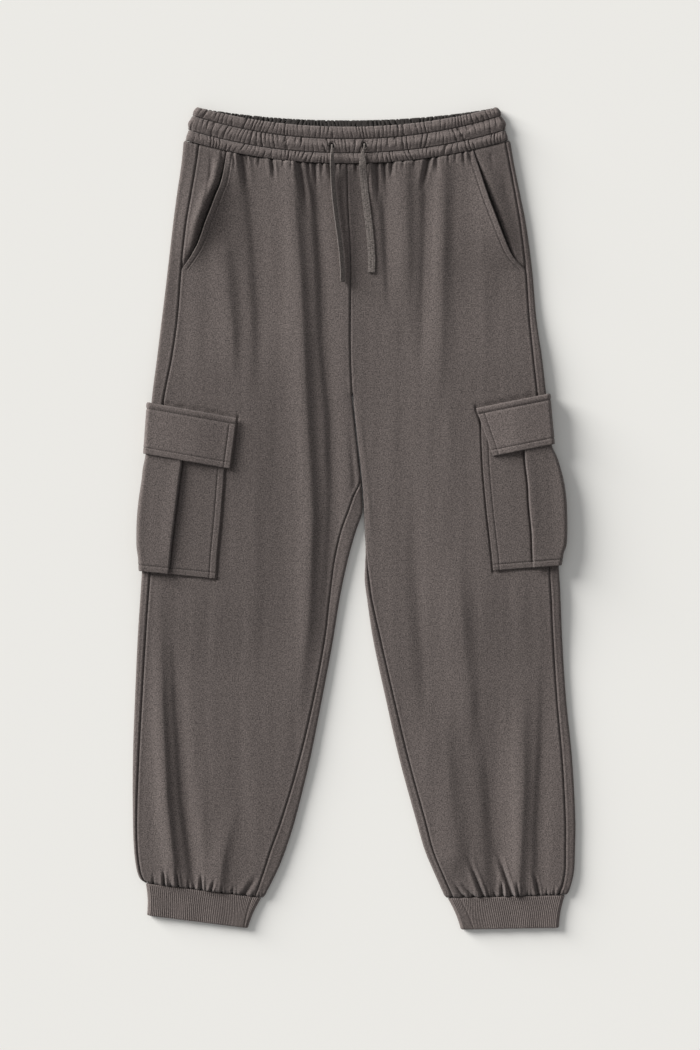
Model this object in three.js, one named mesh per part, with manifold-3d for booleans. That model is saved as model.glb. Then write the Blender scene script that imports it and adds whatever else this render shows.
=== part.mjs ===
// Jogger sweatpants with an elastic waist, slant pockets, cargo pockets and ribbed cuffs, laid on their back.
// Millimetres, +Z up from the surface they lie on, waist towards +Y, the wearer's left side towards +X.
// The origin is on the surface, under the middle of the garment.
import * as THREE from 'three';
import { mergeVertices } from 'three/addons/utils/BufferGeometryUtils.js';
import Module from 'manifold-3d';

// Cloth thicknesses and the small clearances at seams
const CLOTH = 2.2;
const POCKET_CLOTH = 1.6;
const FLAP_CLOTH = 2.4;
const BAND_WALL = 3.6;
const CUFF_WALL = 2.4;
const SEAM_GAP = 0.3;
const CROSS_SEAM_GAP = 0.5;
const LAYER_GAP = 0.6;

// Heights of the lying garment: at a leg's rolled edge, in the middle of a leg, and at the gathered waist
const EDGE_HEIGHT = 7.2;
const BODY_HEIGHT = 8.2;
const WAIST_HEIGHT = 9.8;
const BAND_HEIGHT = 11;
const CUFF_HEIGHT = 6.8;
const EDGE_SOFTNESS = 18;

// Levels down the garment
const WAIST_Y = 471.25;
const CROTCH_Y = 144;
const SLANT_END_Y = 310;

// The waist seam dips in the middle, less at the back than at the front
const WAIST_CENTRE_X = -8.25;
const WAIST_HALF = 203.75;
const WAIST_DIP = { front: 29, back: 20 };
const DIP_POWER = 2.1;
const DIP_FADE = 210;
const WAIST_RISE_REACH = 70;
const CUFF_FADE = 150;

// Under a cargo pocket the leg is held up by the pocket's and the flap's turned-under halves
const POCKET_LIFT = FLAP_CLOTH + POCKET_CLOTH + 0.7;
const EDGE_TURN = 4;
const LIFT_REACH = 108;
const LIFT_FADE = 110;
const LIFT_MARGIN = 24;

// Ridges stand up more than valleys sink in
const RIDGE = 1.6;
const VALLEY = 1.1;

// Puckers gathered into the waist seam and the cuff: their height, and how far from each they fade
const PUCKER_HEIGHT = 0.9;
const WAIST_PUCKER_REACH = 14;
const CUFF_PUCKER_REACH = 12;

// A slant pocket: how far its raised edge fades into the panel, and its facing inside
const MOUTH_REACH = 16;
const FACING = { columns: 9, underlap: 15, rampShare: 0.75, rampMost: 30, sag: 0.4 };

// A cargo pocket's box pleat, the mouth's level below the flap's top, and the layers under the flap
const PLEAT_DEPTH = 13;
const PLEAT_LAYER = POCKET_CLOTH + 0.4;
const POCKET_MOUTH_DROP = 12;
const FLAP_CLEARANCE = LAYER_GAP + 0.5;
const FLAP_STACK = POCKET_CLOTH + 2 * PLEAT_LAYER + FLAP_CLEARANCE;

// How finely the panels are divided
const FRONT_COLUMNS = 19;
const EDGE_COLUMNS = 3;
const BACK_EDGE_STEPS = 6;
const BACK_FLAT_STEPS = 4;
const ROW_SPANS = [
  { to: 440, steps: 2 },
  { to: SLANT_END_Y, steps: 5 },
  { to: 170, steps: 3 },
  { to: CROTCH_Y, steps: 2 },
  { to: 60, steps: 3 },
  { to: -70, steps: 4 },
  { to: -350, steps: 6 },
];
const CUFF_STEPS = 6;
// The outer columns that have an inner point behind them
const FRONT_TIES = [0, 3, 6, 9, 12, 15, 18, 19, 20, 21];
const BACK_UNTIED = [3, 5, 13, 15];

const SWEATSHIRT = { color: 0x5c5451, roughness: 0.95, metalness: 0 };
const RIB_KNIT = { color: 0x605855, roughness: 0.95, metalness: 0 };
const TAPE = { color: 0x6a625f, roughness: 0.9, metalness: 0 };

// A table with named columns: one object for each row
function table(columns, rows) {
  return rows.map((row) => Object.fromEntries(columns.map((name, i) => [name, row[i]])));
}

// The two legs. edge is the outline, seam the seam line that lies inboard of it on the upper side.
const RIGHT = {
  side: 'right',
  inboard: 1,
  cuffY: -455,
  cuffDrop: -19,
  mouth: 7,
  outer: table(['y', 'edge', 'seam'], [
    [471, -212, -193], [441, -215, -197], [404, -220.5, -203], [366, -225.5, -209], [310, -232, -215],
    [247, -239.5, -220], [197, -245.5, -227], [144, -252, -237], [47, -258, -244.5], [-77, -264.5, -254],
    [-152, -269.5, -259.5], [-227, -273, -264], [-302, -275.5, -268], [-377, -275.5, -270.5],
    [-415, -274, -269.5], [-438, -271, -266.5], [-449, -267.4, -263], [-455, -262, -258],
  ]),
  inner: table(['y', 'edge', 'seam'], [
    [144, -1, -1], [97, 4, 4], [47, 9.5, 8.5], [27, 10.8, 0], [7, 11, -7], [-15, 3.5, -15], [-52, -7, -23.5],
    [-102, -17.5, -30], [-152, -25.5, -36], [-227, -39.5, -50], [-302, -54.5, -67.5], [-377, -73, -89.5],
    [-415, -85, -103], [-440, -95, -111], [-474, -112, -123],
  ]),
  slant: table(['y', 'x'], [
    [471, -158.3], [431, -164.8], [411, -171.6], [391, -178.1], [371, -185.1], [352, -191], [337, -197.3],
    [321, -206.9], [310, -215],
  ]),
  pocket: { flapTop: 144, flapBottom: 80, bottom: -66, slope: 0.176, bottomSlope: 0.1 },
  pocketLines: table(['y', 'edge', 'pleat', 'inner'], [
    [150, -254.4, -212, -160.5], [97, -257.6, -215, -160.5], [78, -259.4, -215.5, -161],
    [62, -262.6, -217.5, -162], [47, -264.3, -219.5, -163], [22, -268, -222.5, -165],
    [-2, -270.2, -225.5, -167], [-34, -270.6, -229, -170], [-50, -268.6, -230.5, -171],
    [-66, -267.8, -232, -172],
  ]),
  flapLines: table(['y', 'edge', 'inner'], [[144, -257.8, -145.5], [80, -262.3, -154]]),
  // Ridges and troughs: w is the half width, and each point of the line is x, y and the height there
  folds: [
    {
      w: 10,
      line: [
        [-57, 445, -3], [-47, 400, -3.4], [-40, 305, -3.4], [-38, 220, -3.2], [-29, 129, -3],
        [-26, 28, -2.4], [-31, -67, -1.8], [-38, -160, -0.6],
      ],
    },
    {
      w: 13,
      line: [
        [-78, 445, 2.2], [-67, 300, 3], [-59, 130, 3], [-52, 0, 3], [-57, -120, 2.2], [-70, -250, 0],
      ],
    },
    { w: 13, line: [[-133, 445, -2.6], [-123, 340, -3], [-118, 250, -2.8], [-118, 140, 0]] },
    { w: 14, line: [[-160, 330, 1.6], [-152, 230, 1.8], [-150, 170, 0]] },
    {
      w: 9,
      line: [
        [-240, -140, 0], [-239, -227, 1.8], [-233, -352, 2.8], [-225, -427, 2.8], [-223, -452, 1.6],
      ],
    },
    {
      w: 9,
      line: [
        [-224, -140, 0], [-221, -227, -2.4], [-213, -352, -3.4], [-203, -427, -3.6], [-200, -455, -2.8],
      ],
    },
    { w: 18, line: [[-192, -300, 0], [-188, -390, 1], [-190, -450, 1]] },
    { w: 12, line: [[-150, -360, 0], [-165, -430, 2], [-168, -462, 2]] },
    { w: 7, line: [[0, 120, -1.5], [3, 40, -2]] },
    { w: 24, line: [[-168, 446, 0.4], [-177, 404, 2.2], [-188, 365, 2.4], [-200, 335, 0.8], [-212, 312, 0]] },
    { w: 20, line: [[8, 445, -1.6], [8, 330, -1.6], [8, 240, 0]] },
  ],
};
const LEFT = {
  side: 'left',
  inboard: -1,
  cuffY: -470,
  cuffDrop: -4,
  mouth: 6,
  outer: table(['y', 'edge', 'seam'], [
    [471, 195.5, 189.5], [441, 200.5, 195], [404, 208, 202], [366, 215.5, 208.5], [310, 223, 215],
    [247, 228.5, 219.5], [197, 235.5, 224.5], [144, 241, 230], [47, 247.5, 235.5], [-77, 257, 245],
    [-152, 260.5, 249], [-227, 265.5, 254], [-302, 273, 260.5], [-377, 277, 264.5], [-415, 276.5, 264.5],
    [-440, 275.5, 264], [-457, 272, 261], [-470, 267.5, 256.5],
  ]),
  inner: table(['y', 'edge', 'seam'], [
    [144, -0.5, -0.5], [97, 4.6, 4.6], [47, 10.1, 10.1], [-2, 13, 13], [-46, 15, 15.5], [-77, 14, 19.5],
    [-102, 17, 23], [-152, 24.5, 34], [-227, 40.5, 51], [-302, 57.5, 69], [-377, 78, 89.5], [-415, 89, 99.5],
    [-447, 102.5, 112.5], [-474, 114.5, 124.5],
  ]),
  slant: table(['y', 'x'], [
    [471, 149.5], [438, 159], [407, 168], [376, 178.5], [346, 189.5], [331, 196], [320, 203.5], [310, 215],
  ]),
  pocket: { flapTop: 155, flapBottom: 92, bottom: -59, slope: 0.2, bottomSlope: 0.075 },
  pocketLines: table(['y', 'edge', 'pleat', 'inner'], [
    [158, 242.4, 211, 158], [104, 246.3, 214, 160], [90, 247.4, 214.5, 160.5], [74, 254.5, 216, 161.5],
    [49, 261.5, 219, 163.5], [22, 265.5, 220.5, 166], [-16, 266.5, 224, 170], [-34, 265.5, 224.5, 172],
    [-44, 262, 225, 173], [-59, 259.5, 225.5, 174],
  ]),
  flapLines: table(['y', 'edge', 'inner'], [[155, 245.3, 152.5], [92, 250.9, 173.5]]),
  folds: [
    { w: 9, line: [[37, 443, -3], [38, 400, -3.2], [42, 322, -2.8], [46, 240, 0]] },
    { w: 10, line: [[91, 448, -2.6], [90, 360, -2.6], [87, 260, -1.6], [84, 180, 0]] },
    { w: 15, line: [[112, 440, 1.6], [110, 330, 2.2], [108, 220, 1.4], [104, 120, 0]] },
    { w: 14, line: [[64, 440, 1.4], [67, 330, 1.6], [66, 220, 0]] },
    { w: 16, line: [[74, 20, 0], [80, -80, -1.6], [88, -200, -1.8], [100, -280, 0]] },
    { w: 18, line: [[126, -40, 0], [134, -130, 1.6], [144, -230, 1.4], [150, -290, 0]] },
    { w: 20, line: [[106, -210, 0], [117, -320, 1.8], [128, -420, 2]] },
    { w: 19, line: [[158, -210, 0], [170, -330, -3.2], [178, -420, -3.4], [180, -465, -2.4]] },
    { w: 10, line: [[238, -170, 0], [235, -290, -2.2], [230, -390, -2.8], [231, -462, -2.6]] },
    { w: 12, line: [[210, -220, 0], [211, -330, 1.8], [207, -430, 2.4], [204, -468, 2]] },
    { w: 7, line: [[4, 125, 1.2], [16, 20, 1.6], [20, -30, 0]] },
    { w: 22, line: [[162, 446, 0.4], [172, 404, 1.6], [186, 360, 1.8], [197, 332, 0.8], [211, 312, 0]] },
    { w: 20, line: [[8, 445, -1.6], [8, 330, -1.6], [8, 240, 0]] },
  ],
};

// The waistband's lines across its height, from the waist seam to its top edge. Two rows of stitching part
// three elastic channels. half is half the band's width, crown how far the cloth stands out and ruffle the
// height of its puckers.
const BAND_LINES = table(['sideY', 'dip', 'half', 'crown', 'ruffle'], [
  [WAIST_Y, 29, 202, -0.9, 0.5],
  [477.5, 29, 199.1, 0.7, 0.9],
  [484, 29, 198.2, -0.9, 0.4],
  [493, 29.7, 196.9, 1.1, 1],
  [501.8, 29.3, 193.2, -0.9, 0.4],
  [507, 26.8, 190.8, 0.8, 0.9],
  [512.5, 24.7, 188.2, -0.7, 0.8],
]);
const BACK_BAND_LINES = table(['sideY', 'dip', 'half', 'crown', 'ruffle'], [
  [WAIST_Y, 20, 202, 0, 0],
  [501.8, 17, 193.2, 0, 0.3],
  [507, 16.5, 190.8, 0.5, 0.8],
  [512.5, 16, 188.2, -0.3, 0.8],
]);
const BAND_COLUMNS = 84;
const BACK_BAND_COLUMNS = 60;
const BAND_ARC_STEPS = 3;
const SKIN = 0.001;

const CUFFS = {
  right: { leg: RIGHT, top: { x0: -259.5, x1: -115 }, bottom: { x0: -258, y0: -496, x1: -132, y1: -512 } },
  left: { leg: LEFT, top: { x0: 117.5, x1: 264 }, bottom: { x0: 134, y0: -513.7, x1: 256.5, y1: -511.5 } },
};
const CUFF_RIBS = 50;
const RIB_HEIGHT = 0.6;
const CUFF_ARC_STEPS = 3;
const CUFF_UNDER_STEPS = 5;

// Each free end of the drawcord is a flat tape. lean turns it from lying flat towards its edge. It leaves its
// buttonhole bunched up, and has spread out and turned a little way down.
const TAPE_WIDTH = 9;
const TAPE_THICKNESS = 1.8;
const TAPE_BUNCHED = 2.1;
const TAPE_FREE_AT = 3;
const TAPE_TURNED_AT = 20;
const TAPE_SPREAD_AT = 26;
const TAPE_TOP = BAND_HEIGHT + 3.6;
const TAPE_CLEARANCE = 0.4;
const BAND_PUCKERS = 1.9;
const CORDS = {
  right: {
    lean: -0.95,
    hole: { x: -27, y: 465 },
    points: [
      [-26.7, 452], [-26.4, 440], [-25.8, 424], [-24.2, 400], [-21.2, 375], [-17.8, 350], [-15, 325],
      [-13.8, 306], [-13.6, 294],
    ],
  },
  left: {
    lean: 0,
    hole: { x: 13.4, y: 466 },
    points: [
      [11.4, 453], [11.4, 441], [12.6, 424], [15, 400], [18.2, 375], [21, 350], [22.6, 328], [22.7, 316],
      [22.3, 306],
    ],
  },
};
const BUTTONHOLE = { width: 3.2, height: 11, drop: 2.5 };

const lerp = THREE.MathUtils.lerp;
const smoothstep = THREE.MathUtils.smoothstep;

// The value of a column at height y, on a smooth curve through a table whose rows run downwards
function read(rows, column, y) {
  const last = rows.length - 1;
  if (y >= rows[0].y) return rows[0][column];
  if (y <= rows[last].y) return rows[last][column];
  const i = rows.findIndex((row, k) => k < last && y <= row.y && y > rows[k + 1].y);
  const slope = (k) => {
    const above = rows[Math.max(k - 1, 0)];
    const below = rows[Math.min(k + 1, last)];
    return (below[column] - above[column]) / (below.y - above.y);
  };
  const span = rows[i + 1].y - rows[i].y;
  const s = (y - rows[i].y) / span;
  return (2 * s ** 3 - 3 * s ** 2 + 1) * rows[i][column] + (s ** 3 - 2 * s ** 2 + s) * span * slope(i)
    + (3 * s ** 2 - 2 * s ** 3) * rows[i + 1][column] + (s ** 3 - s ** 2) * span * slope(i + 1);
}

// Full between low and high, and fading to nothing over fade on either side
function plateau(value, low, high, fade) {
  return smoothstep(value, low - fade, low) * (1 - smoothstep(value, high, high + fade));
}

// How far the waist seam lies below its sides at x
function waistDip(x, depth) {
  const u = Math.min(1, Math.abs(x - WAIST_CENTRE_X) / WAIST_HALF);
  return depth * (1 - u ** DIP_POWER);
}

const waistShare = (rowY) => smoothstep(rowY, WAIST_Y - DIP_FADE, WAIST_Y);
const cuffShare = (leg, rowY) => 1 - smoothstep(rowY, leg.cuffY, leg.cuffY + CUFF_FADE);
const centreLine = table(['y', 'x'], [
  [442, -8.5], [390, -7], [332, -4], [210, -4], [152, -1.6], [144, -0.75],
]);

// The outer edge of a leg in the row that meets it at rowY
function outerEdge(leg, rowY) {
  return { x: read(leg.outer, 'edge', rowY), seam: read(leg.outer, 'seam', rowY), dir: leg.inboard };
}

// The inner edge of a leg below the crotch
function innerEdge(leg, rowY) {
  const y = rowY + cuffShare(leg, rowY) * leg.cuffDrop;
  return { x: read(leg.inner, 'edge', y), seam: read(leg.inner, 'seam', y), dir: -leg.inboard };
}

const aboveCrotch = (rowY) => rowY > CROTCH_Y + 0.5;

// Where a row of a leg ends inboard: at the centre line, or below the crotch at the inner edge
function innerX(leg, rowY) {
  if (!aboveCrotch(rowY)) return innerEdge(leg, rowY).x;
  return read(centreLine, 'x', rowY - waistShare(rowY) * WAIST_DIP.front);
}

// The true height in the plan of the point of a row at x. under is 0 on the upper side, 1 on the underside.
function planY(leg, rowY, x, under) {
  const outer = outerEdge(leg, rowY).x;
  const share = THREE.MathUtils.clamp((x - outer) / (innerX(leg, rowY) - outer), 0, 1);
  const dip = waistDip(x, lerp(WAIST_DIP.front, WAIST_DIP.back, under));
  return rowY - waistShare(rowY) * dip + cuffShare(leg, rowY) * leg.cuffDrop * share;
}

const waistRise = (rowY) => Math.exp(-(((WAIST_Y - rowY) / WAIST_RISE_REACH) ** 2));
const edgeHeight = (rowY) => lerp(EDGE_HEIGHT, WAIST_HEIGHT, waistRise(rowY));

// Height of the folds at a point of the upper side
function foldHeight(leg, x, y) {
  let height = 0;
  for (const { w, line } of leg.folds) {
    let nearest = Infinity;
    let there = 0;
    for (let i = 0; i + 1 < line.length; i++) {
      const [ax, ay, ah] = line[i];
      const [bx, by, bh] = line[i + 1];
      const along = ((x - ax) * (bx - ax) + (y - ay) * (by - ay)) / ((bx - ax) ** 2 + (by - ay) ** 2);
      const s = THREE.MathUtils.clamp(along, 0, 1);
      const distance = Math.hypot(x - lerp(ax, bx, s), y - lerp(ay, by, s));
      if (distance < nearest) {
        nearest = distance;
        there = lerp(ah, bh, s);
      }
    }
    height += there * Math.exp(-((nearest / w) ** 2));
  }
  return height * (height > 0 ? RIDGE : VALLEY);
}

// How high the leg's underside is held above the surface
function lift(leg, x, rowY) {
  const { flapTop, bottom } = leg.pocket;
  const inboard = Math.abs(x - outerEdge(leg, rowY).x);
  const along = plateau(rowY, bottom - LIFT_MARGIN, flapTop + LIFT_MARGIN, LIFT_FADE);
  return POCKET_LIFT * along * (1 - smoothstep(inboard, LIFT_REACH, LIFT_REACH + LIFT_FADE));
}

// Height of the upper skin away from the rolled edges
function topSkin(leg, x, rowY) {
  const outer = Math.abs(x - outerEdge(leg, rowY).x);
  const inner = aboveCrotch(rowY) ? Infinity : Math.abs(x - innerEdge(leg, rowY).x);
  const radius = edgeHeight(rowY) / 2;
  const inside = Math.max(Math.min(outer, inner) - radius, 0);
  const middle = Math.max(BODY_HEIGHT, edgeHeight(rowY));
  const body = lerp(edgeHeight(rowY), middle, 1 - Math.exp(-inside / EDGE_SOFTNESS));
  const soft = smoothstep(inside, 0, 2 * radius);
  return lift(leg, x, rowY) + body + soft * foldHeight(leg, x, planY(leg, rowY, x, 0));
}

// A point of the skin near an edge. run is measured round the roll: 0 where the roll leaves the upper side,
// and radius times pi where it meets the underside.
function edgePoint(leg, edge, rowY, run) {
  const radius = edgeHeight(rowY) / 2;
  const turn = radius * Math.PI;
  if (run <= 0) {
    const x = edge.x + edge.dir * (radius - run);
    return { x, z: topSkin(leg, x, rowY), under: 0, nx: 0, nz: 1 };
  }
  if (run >= turn) {
    const x = edge.x + edge.dir * (radius + run - turn);
    return { x, z: lift(leg, x, rowY), under: 1, nx: 0, nz: -1 };
  }
  const angle = run / radius;
  const nx = -edge.dir * Math.sin(angle);
  const nz = Math.cos(angle);
  const x = edge.x + edge.dir * radius + radius * nx;
  return { x, z: lift(leg, x, rowY) + radius + radius * nz, under: angle / Math.PI, nx, nz };
}

// Where the seam line lies in that measure
function seamRun(edge, rowY) {
  const radius = edgeHeight(rowY) / 2;
  const inset = Math.abs(edge.seam - edge.x);
  return inset >= radius ? radius - inset : radius * Math.asin((radius - inset) / radius);
}

// The last point of a section at a seam faces as the seam line does, so both pieces' ends are parallel
function squareEnd(leg, edge, rowY, point) {
  const { nx, nz } = edgePoint(leg, edge, rowY, seamRun(edge, rowY));
  point.nx = nx;
  point.nz = nz;
}

// The points of a section moved into the cloth, against the way that each faces
function inside(section, thickness) {
  return section.map((point) => {
    const x = point.x - point.nx * thickness;
    const z = point.z - point.nz * thickness;
    return { ...point, x, z };
  });
}

// The points of a path moved sideways by distance, to its right as seen along Y
function offsetPath(path, distance) {
  return path.map((point, i) => {
    const before = path[Math.max(i - 1, 0)];
    const after = path[Math.min(i + 1, path.length - 1)];
    const dx = after.x - before.x;
    const dz = after.z - before.z;
    const length = Math.hypot(dx, dz);
    return { ...point, x: point.x + (dz / length) * distance, z: point.z - (dx / length) * distance };
  });
}

// A closed wall between an outer and an inner skin. Each skin is a list of rows of Vector3. ties says which
// outer point each inner point lies behind. A round wall closes on itself along its rows.
function wall(outer, inner, ties, round = false) {
  const rows = outer.length;
  const n = outer[0].length;
  const m = inner[0].length;
  const positions = [...outer.flat(), ...inner.flat()].flatMap((p) => [p.x, p.y, p.z]);
  const out = (r, i) => r * n + (i % n);
  const inn = (r, k) => rows * n + r * m + (k % m);
  const faces = [];
  const quad = (a, b, c, d) => faces.push(a, b, c, a, c, d);
  const spans = round ? 0 : 1;
  for (let r = 0; r + 1 < rows; r++) {
    for (let i = 0; i < n - spans; i++) quad(out(r, i), out(r, i + 1), out(r + 1, i + 1), out(r + 1, i));
    for (let k = 0; k < m - spans; k++) quad(inn(r, k), inn(r + 1, k), inn(r + 1, k + 1), inn(r, k + 1));
    if (!round) {
      quad(out(r, 0), out(r + 1, 0), inn(r + 1, 0), inn(r, 0));
      quad(out(r + 1, n - 1), out(r, n - 1), inn(r, m - 1), inn(r + 1, m - 1));
    }
  }
  // The end faces join each stretch of the outer skin to the inner points behind it
  for (const [r, first] of [[0, true], [rows - 1, false]]) {
    const triangle = (a, b, c) => (first ? faces.push(a, c, b) : faces.push(a, b, c));
    for (let k = 0; k < m - spans; k++) {
      const start = ties[k];
      const end = k + 1 < m ? ties[k + 1] : n;
      const middle = Math.floor((start + end) / 2);
      for (let i = start; i < end; i++) {
        triangle(out(r, i), out(r, i + 1), i < middle ? inn(r, k) : inn(r, k + 1));
      }
      triangle(out(r, middle), inn(r, k + 1), inn(r, k));
    }
  }
  return solid(positions, faces);
}

// A geometry from positions and faces, turned so that its faces point outwards
function solid(positions, faces) {
  let volume = 0;
  const corner = (i) => new THREE.Vector3().fromArray(positions, 3 * i);
  for (let f = 0; f < faces.length; f += 3) {
    volume += corner(faces[f]).dot(corner(faces[f + 1]).cross(corner(faces[f + 2])));
  }
  if (volume < 0) {
    for (let f = 0; f < faces.length; f += 3) [faces[f + 1], faces[f + 2]] = [faces[f + 2], faces[f + 1]];
  }
  const geometry = new THREE.BufferGeometry();
  geometry.setAttribute('position', new THREE.Float32BufferAttribute(positions, 3));
  geometry.setIndex(faces);
  return geometry;
}

const everyPoint = (count) => Array.from({ length: count }, (_, i) => i);

// The rows of a leg's panels, from the waist seam down to the cuff
function legRows(leg) {
  const rows = [WAIST_Y];
  for (const { to, steps } of ROW_SPANS) {
    const from = rows.at(-1);
    for (let k = 1; k <= steps; k++) rows.push(lerp(from, to, k / steps));
  }
  const from = rows.at(-1);
  for (let k = 1; k <= CUFF_STEPS; k++) rows.push(lerp(from, leg.cuffY, 1 - (1 - k / CUFF_STEPS) ** 1.6));
  return rows;
}

// Height of the gathered puckers in a column, uneven from one column to the next
function pucker(leg, rowY, column) {
  const nearWaist = Math.exp((rowY - WAIST_Y) / WAIST_PUCKER_REACH);
  const nearCuff = Math.exp((leg.cuffY - rowY) / CUFF_PUCKER_REACH);
  const uneven = 0.65 + 0.35 * Math.sin(column * 2.4);
  return (nearWaist + nearCuff) * uneven * (column % 2 ? PUCKER_HEIGHT : -PUCKER_HEIGHT);
}

// The points of a row of a leg in space, from points of a section
function place(leg, rowY, section) {
  const isTop = rowY === WAIST_Y;
  return section.map(({ x, z, under }) => {
    const y = planY(leg, rowY, x, under);
    return new THREE.Vector3(x, isTop ? y - CROSS_SEAM_GAP / 2 : y, z);
  });
}

// Front panel: from the side seam, or the slant pocket's edge, to the centre front seam or the inseam
function frontPanel(leg) {
  const skins = legRows(leg).map((rowY) => {
    const outer = outerEdge(leg, rowY);
    const onSlant = rowY > SLANT_END_Y + 1;
    const start = (onSlant ? read(leg.slant, 'x', rowY) : outer.seam) + (leg.inboard * SEAM_GAP) / 2;
    const split = aboveCrotch(rowY);
    const inner = split ? null : innerEdge(leg, rowY);
    const radius = edgeHeight(rowY) / 2;
    const endRun = split ? 0 : seamRun(inner, rowY) - SEAM_GAP / 2;
    const bendRun = split ? 0 : Math.min(endRun, 0) - 2 * radius;
    const end = innerX(leg, rowY) - (leg.inboard * SEAM_GAP) / 2;
    const turn = split ? lerp(start, end, 0.97) : edgePoint(leg, inner, rowY, bendRun).x;
    const section = [];
    for (let i = 0; i < FRONT_COLUMNS; i++) {
      const x = lerp(start, turn, i / (FRONT_COLUMNS - 1));
      const z = topSkin(leg, x, rowY) + pucker(leg, rowY, i) * (i > 0 ? 1 : 0);
      section.push({ x, z, under: 0, nx: 0, nz: 1 });
    }
    for (let i = 1; i <= EDGE_COLUMNS; i++) {
      const x = lerp(turn, end, i / EDGE_COLUMNS);
      const flat = { x, z: topSkin(leg, x, rowY), under: 0, nx: 0, nz: 1 };
      section.push(split ? flat : edgePoint(leg, inner, rowY, lerp(bendRun, endRun, i / EDGE_COLUMNS)));
    }
    if (!split) squareEnd(leg, inner, rowY, section.at(-1));
    if (onSlant) raiseMouth(leg, rowY, start, section);
    else squareEnd(leg, outer, rowY, section[0]);
    return { outer: place(leg, rowY, section), inner: place(leg, rowY, inside(section, CLOTH)) };
  });
  return wall(skins.map((s) => s.outer), skins.map((s) => FRONT_TIES.map((i) => s.inner[i])), FRONT_TIES);
}

// The slant pocket's mouth stands open a little: its edge is raised over the facing
function raiseMouth(leg, rowY, edgeX, section) {
  const along = Math.sin((Math.PI * (WAIST_Y - rowY)) / (WAIST_Y - SLANT_END_Y));
  for (const point of section) {
    point.z += leg.mouth * along * Math.exp(-Math.abs(point.x - edgeX) / MOUTH_REACH);
  }
}

// Back panel: from the side seam on the upper side, round the rolled edge and under, to the centre back seam.
// Below the crotch it goes on round the inner edge and up to the inseam.
function backPanel(leg) {
  const skins = legRows(leg).map((rowY) => {
    const outer = outerEdge(leg, rowY);
    const radius = edgeHeight(rowY) / 2;
    const turn = radius * Math.PI;
    const start = seamRun(outer, rowY) + SEAM_GAP / 2;
    const section = [];
    for (let i = 0; i <= BACK_EDGE_STEPS + 1; i++) {
      section.push(edgePoint(leg, outer, rowY, lerp(start, turn, i / (BACK_EDGE_STEPS + 1))));
    }
    const split = aboveCrotch(rowY);
    const inner = split ? null : innerEdge(leg, rowY);
    const end = innerX(leg, rowY) - (leg.inboard * SEAM_GAP) / 2;
    const from = section.at(-1).x;
    const to = split ? lerp(from, end, 0.9) : inner.x + inner.dir * radius;
    for (let i = 1; i <= BACK_FLAT_STEPS; i++) {
      const x = lerp(from, to, i / BACK_FLAT_STEPS);
      section.push({ x, z: lift(leg, x, rowY), under: 1, nx: 0, nz: -1 });
    }
    const endRun = split ? 0 : seamRun(inner, rowY) + SEAM_GAP / 2;
    for (let i = 1; i <= BACK_EDGE_STEPS; i++) {
      const x = lerp(to, end, i / BACK_EDGE_STEPS);
      const flat = { x, z: lift(leg, x, rowY), under: 1, nx: 0, nz: -1 };
      section.push(split ? flat : edgePoint(leg, inner, rowY, lerp(turn, endRun, i / BACK_EDGE_STEPS)));
    }
    squareEnd(leg, outer, rowY, section[0]);
    if (!split) squareEnd(leg, inner, rowY, section.at(-1));
    return { outer: place(leg, rowY, section), inner: place(leg, rowY, inside(section, CLOTH)) };
  });
  const ties = everyPoint(skins[0].outer.length).filter((i) => !BACK_UNTIED.includes(i));
  return wall(skins.map((s) => s.outer), skins.map((s) => ties.map((i) => s.inner[i])), ties);
}

// The facing inside a slant pocket: sewn to the side seam, and lying under the front panel's slanted edge
function pocketFacing(leg) {
  const { columns, underlap, rampShare, rampMost } = FACING;
  const rows = legRows(leg).filter((rowY) => rowY > SLANT_END_Y - 1);
  const skins = rows.map((rowY) => {
    const seam = outerEdge(leg, rowY).seam + (leg.inboard * SEAM_GAP) / 2;
    const slant = read(leg.slant, 'x', rowY);
    const visible = Math.abs(slant - seam);
    const ramp = rampShare * Math.min(rampMost, visible);
    const level = smoothstep(visible, 2, 9);
    const sag = FACING.sag * Math.sin((Math.PI * (WAIST_Y - rowY)) / (WAIST_Y - SLANT_END_Y));
    const section = everyPoint(columns).map((i) => {
      const x = lerp(seam, slant + leg.inboard * underlap, i / (columns - 1));
      const sunk = 1 - level * (1 - smoothstep(Math.abs(x - seam), 0, ramp));
      return { x, z: topSkin(leg, x, rowY) - (CLOTH + LAYER_GAP + sag) * sunk, under: 0, nx: 0, nz: 1 };
    });
    return { outer: place(leg, rowY, section), inner: place(leg, rowY, inside(section, POCKET_CLOTH)) };
  });
  return wall(skins.map((s) => s.outer), skins.map((s) => s.inner), everyPoint(columns));
}

// Carries a path round the leg's edge, as half an ellipse, and on underneath to an end
function turnUnder(path, dir, edge, underZ, end) {
  const arcSteps = 6;
  const halfHeight = (path.at(-1).z - underZ) / 2;
  for (let i = 1; i <= arcSteps; i++) {
    const angle = (Math.PI * i) / arcSteps;
    const x = edge + dir * EDGE_TURN * (1 - Math.sin(angle));
    path.push({ x, z: underZ + halfHeight + halfHeight * Math.cos(angle) });
  }
  for (let i = 1; i <= 3; i++) path.push({ x: lerp(edge + dir * EDGE_TURN, end, i / 3), z: underZ });
}

// Both skins of a row of cloth from the path of its middle. The row falls by slope away from the edge.
function skinsOf(path, half, rowY, slope, edge) {
  const [outer, inner] = [-half, half].map((distance) => offsetPath(path, distance).map(({ x, z }) => (
    new THREE.Vector3(x, rowY - slope * Math.abs(x - edge), z)
  )));
  return { outer, inner };
}

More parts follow.
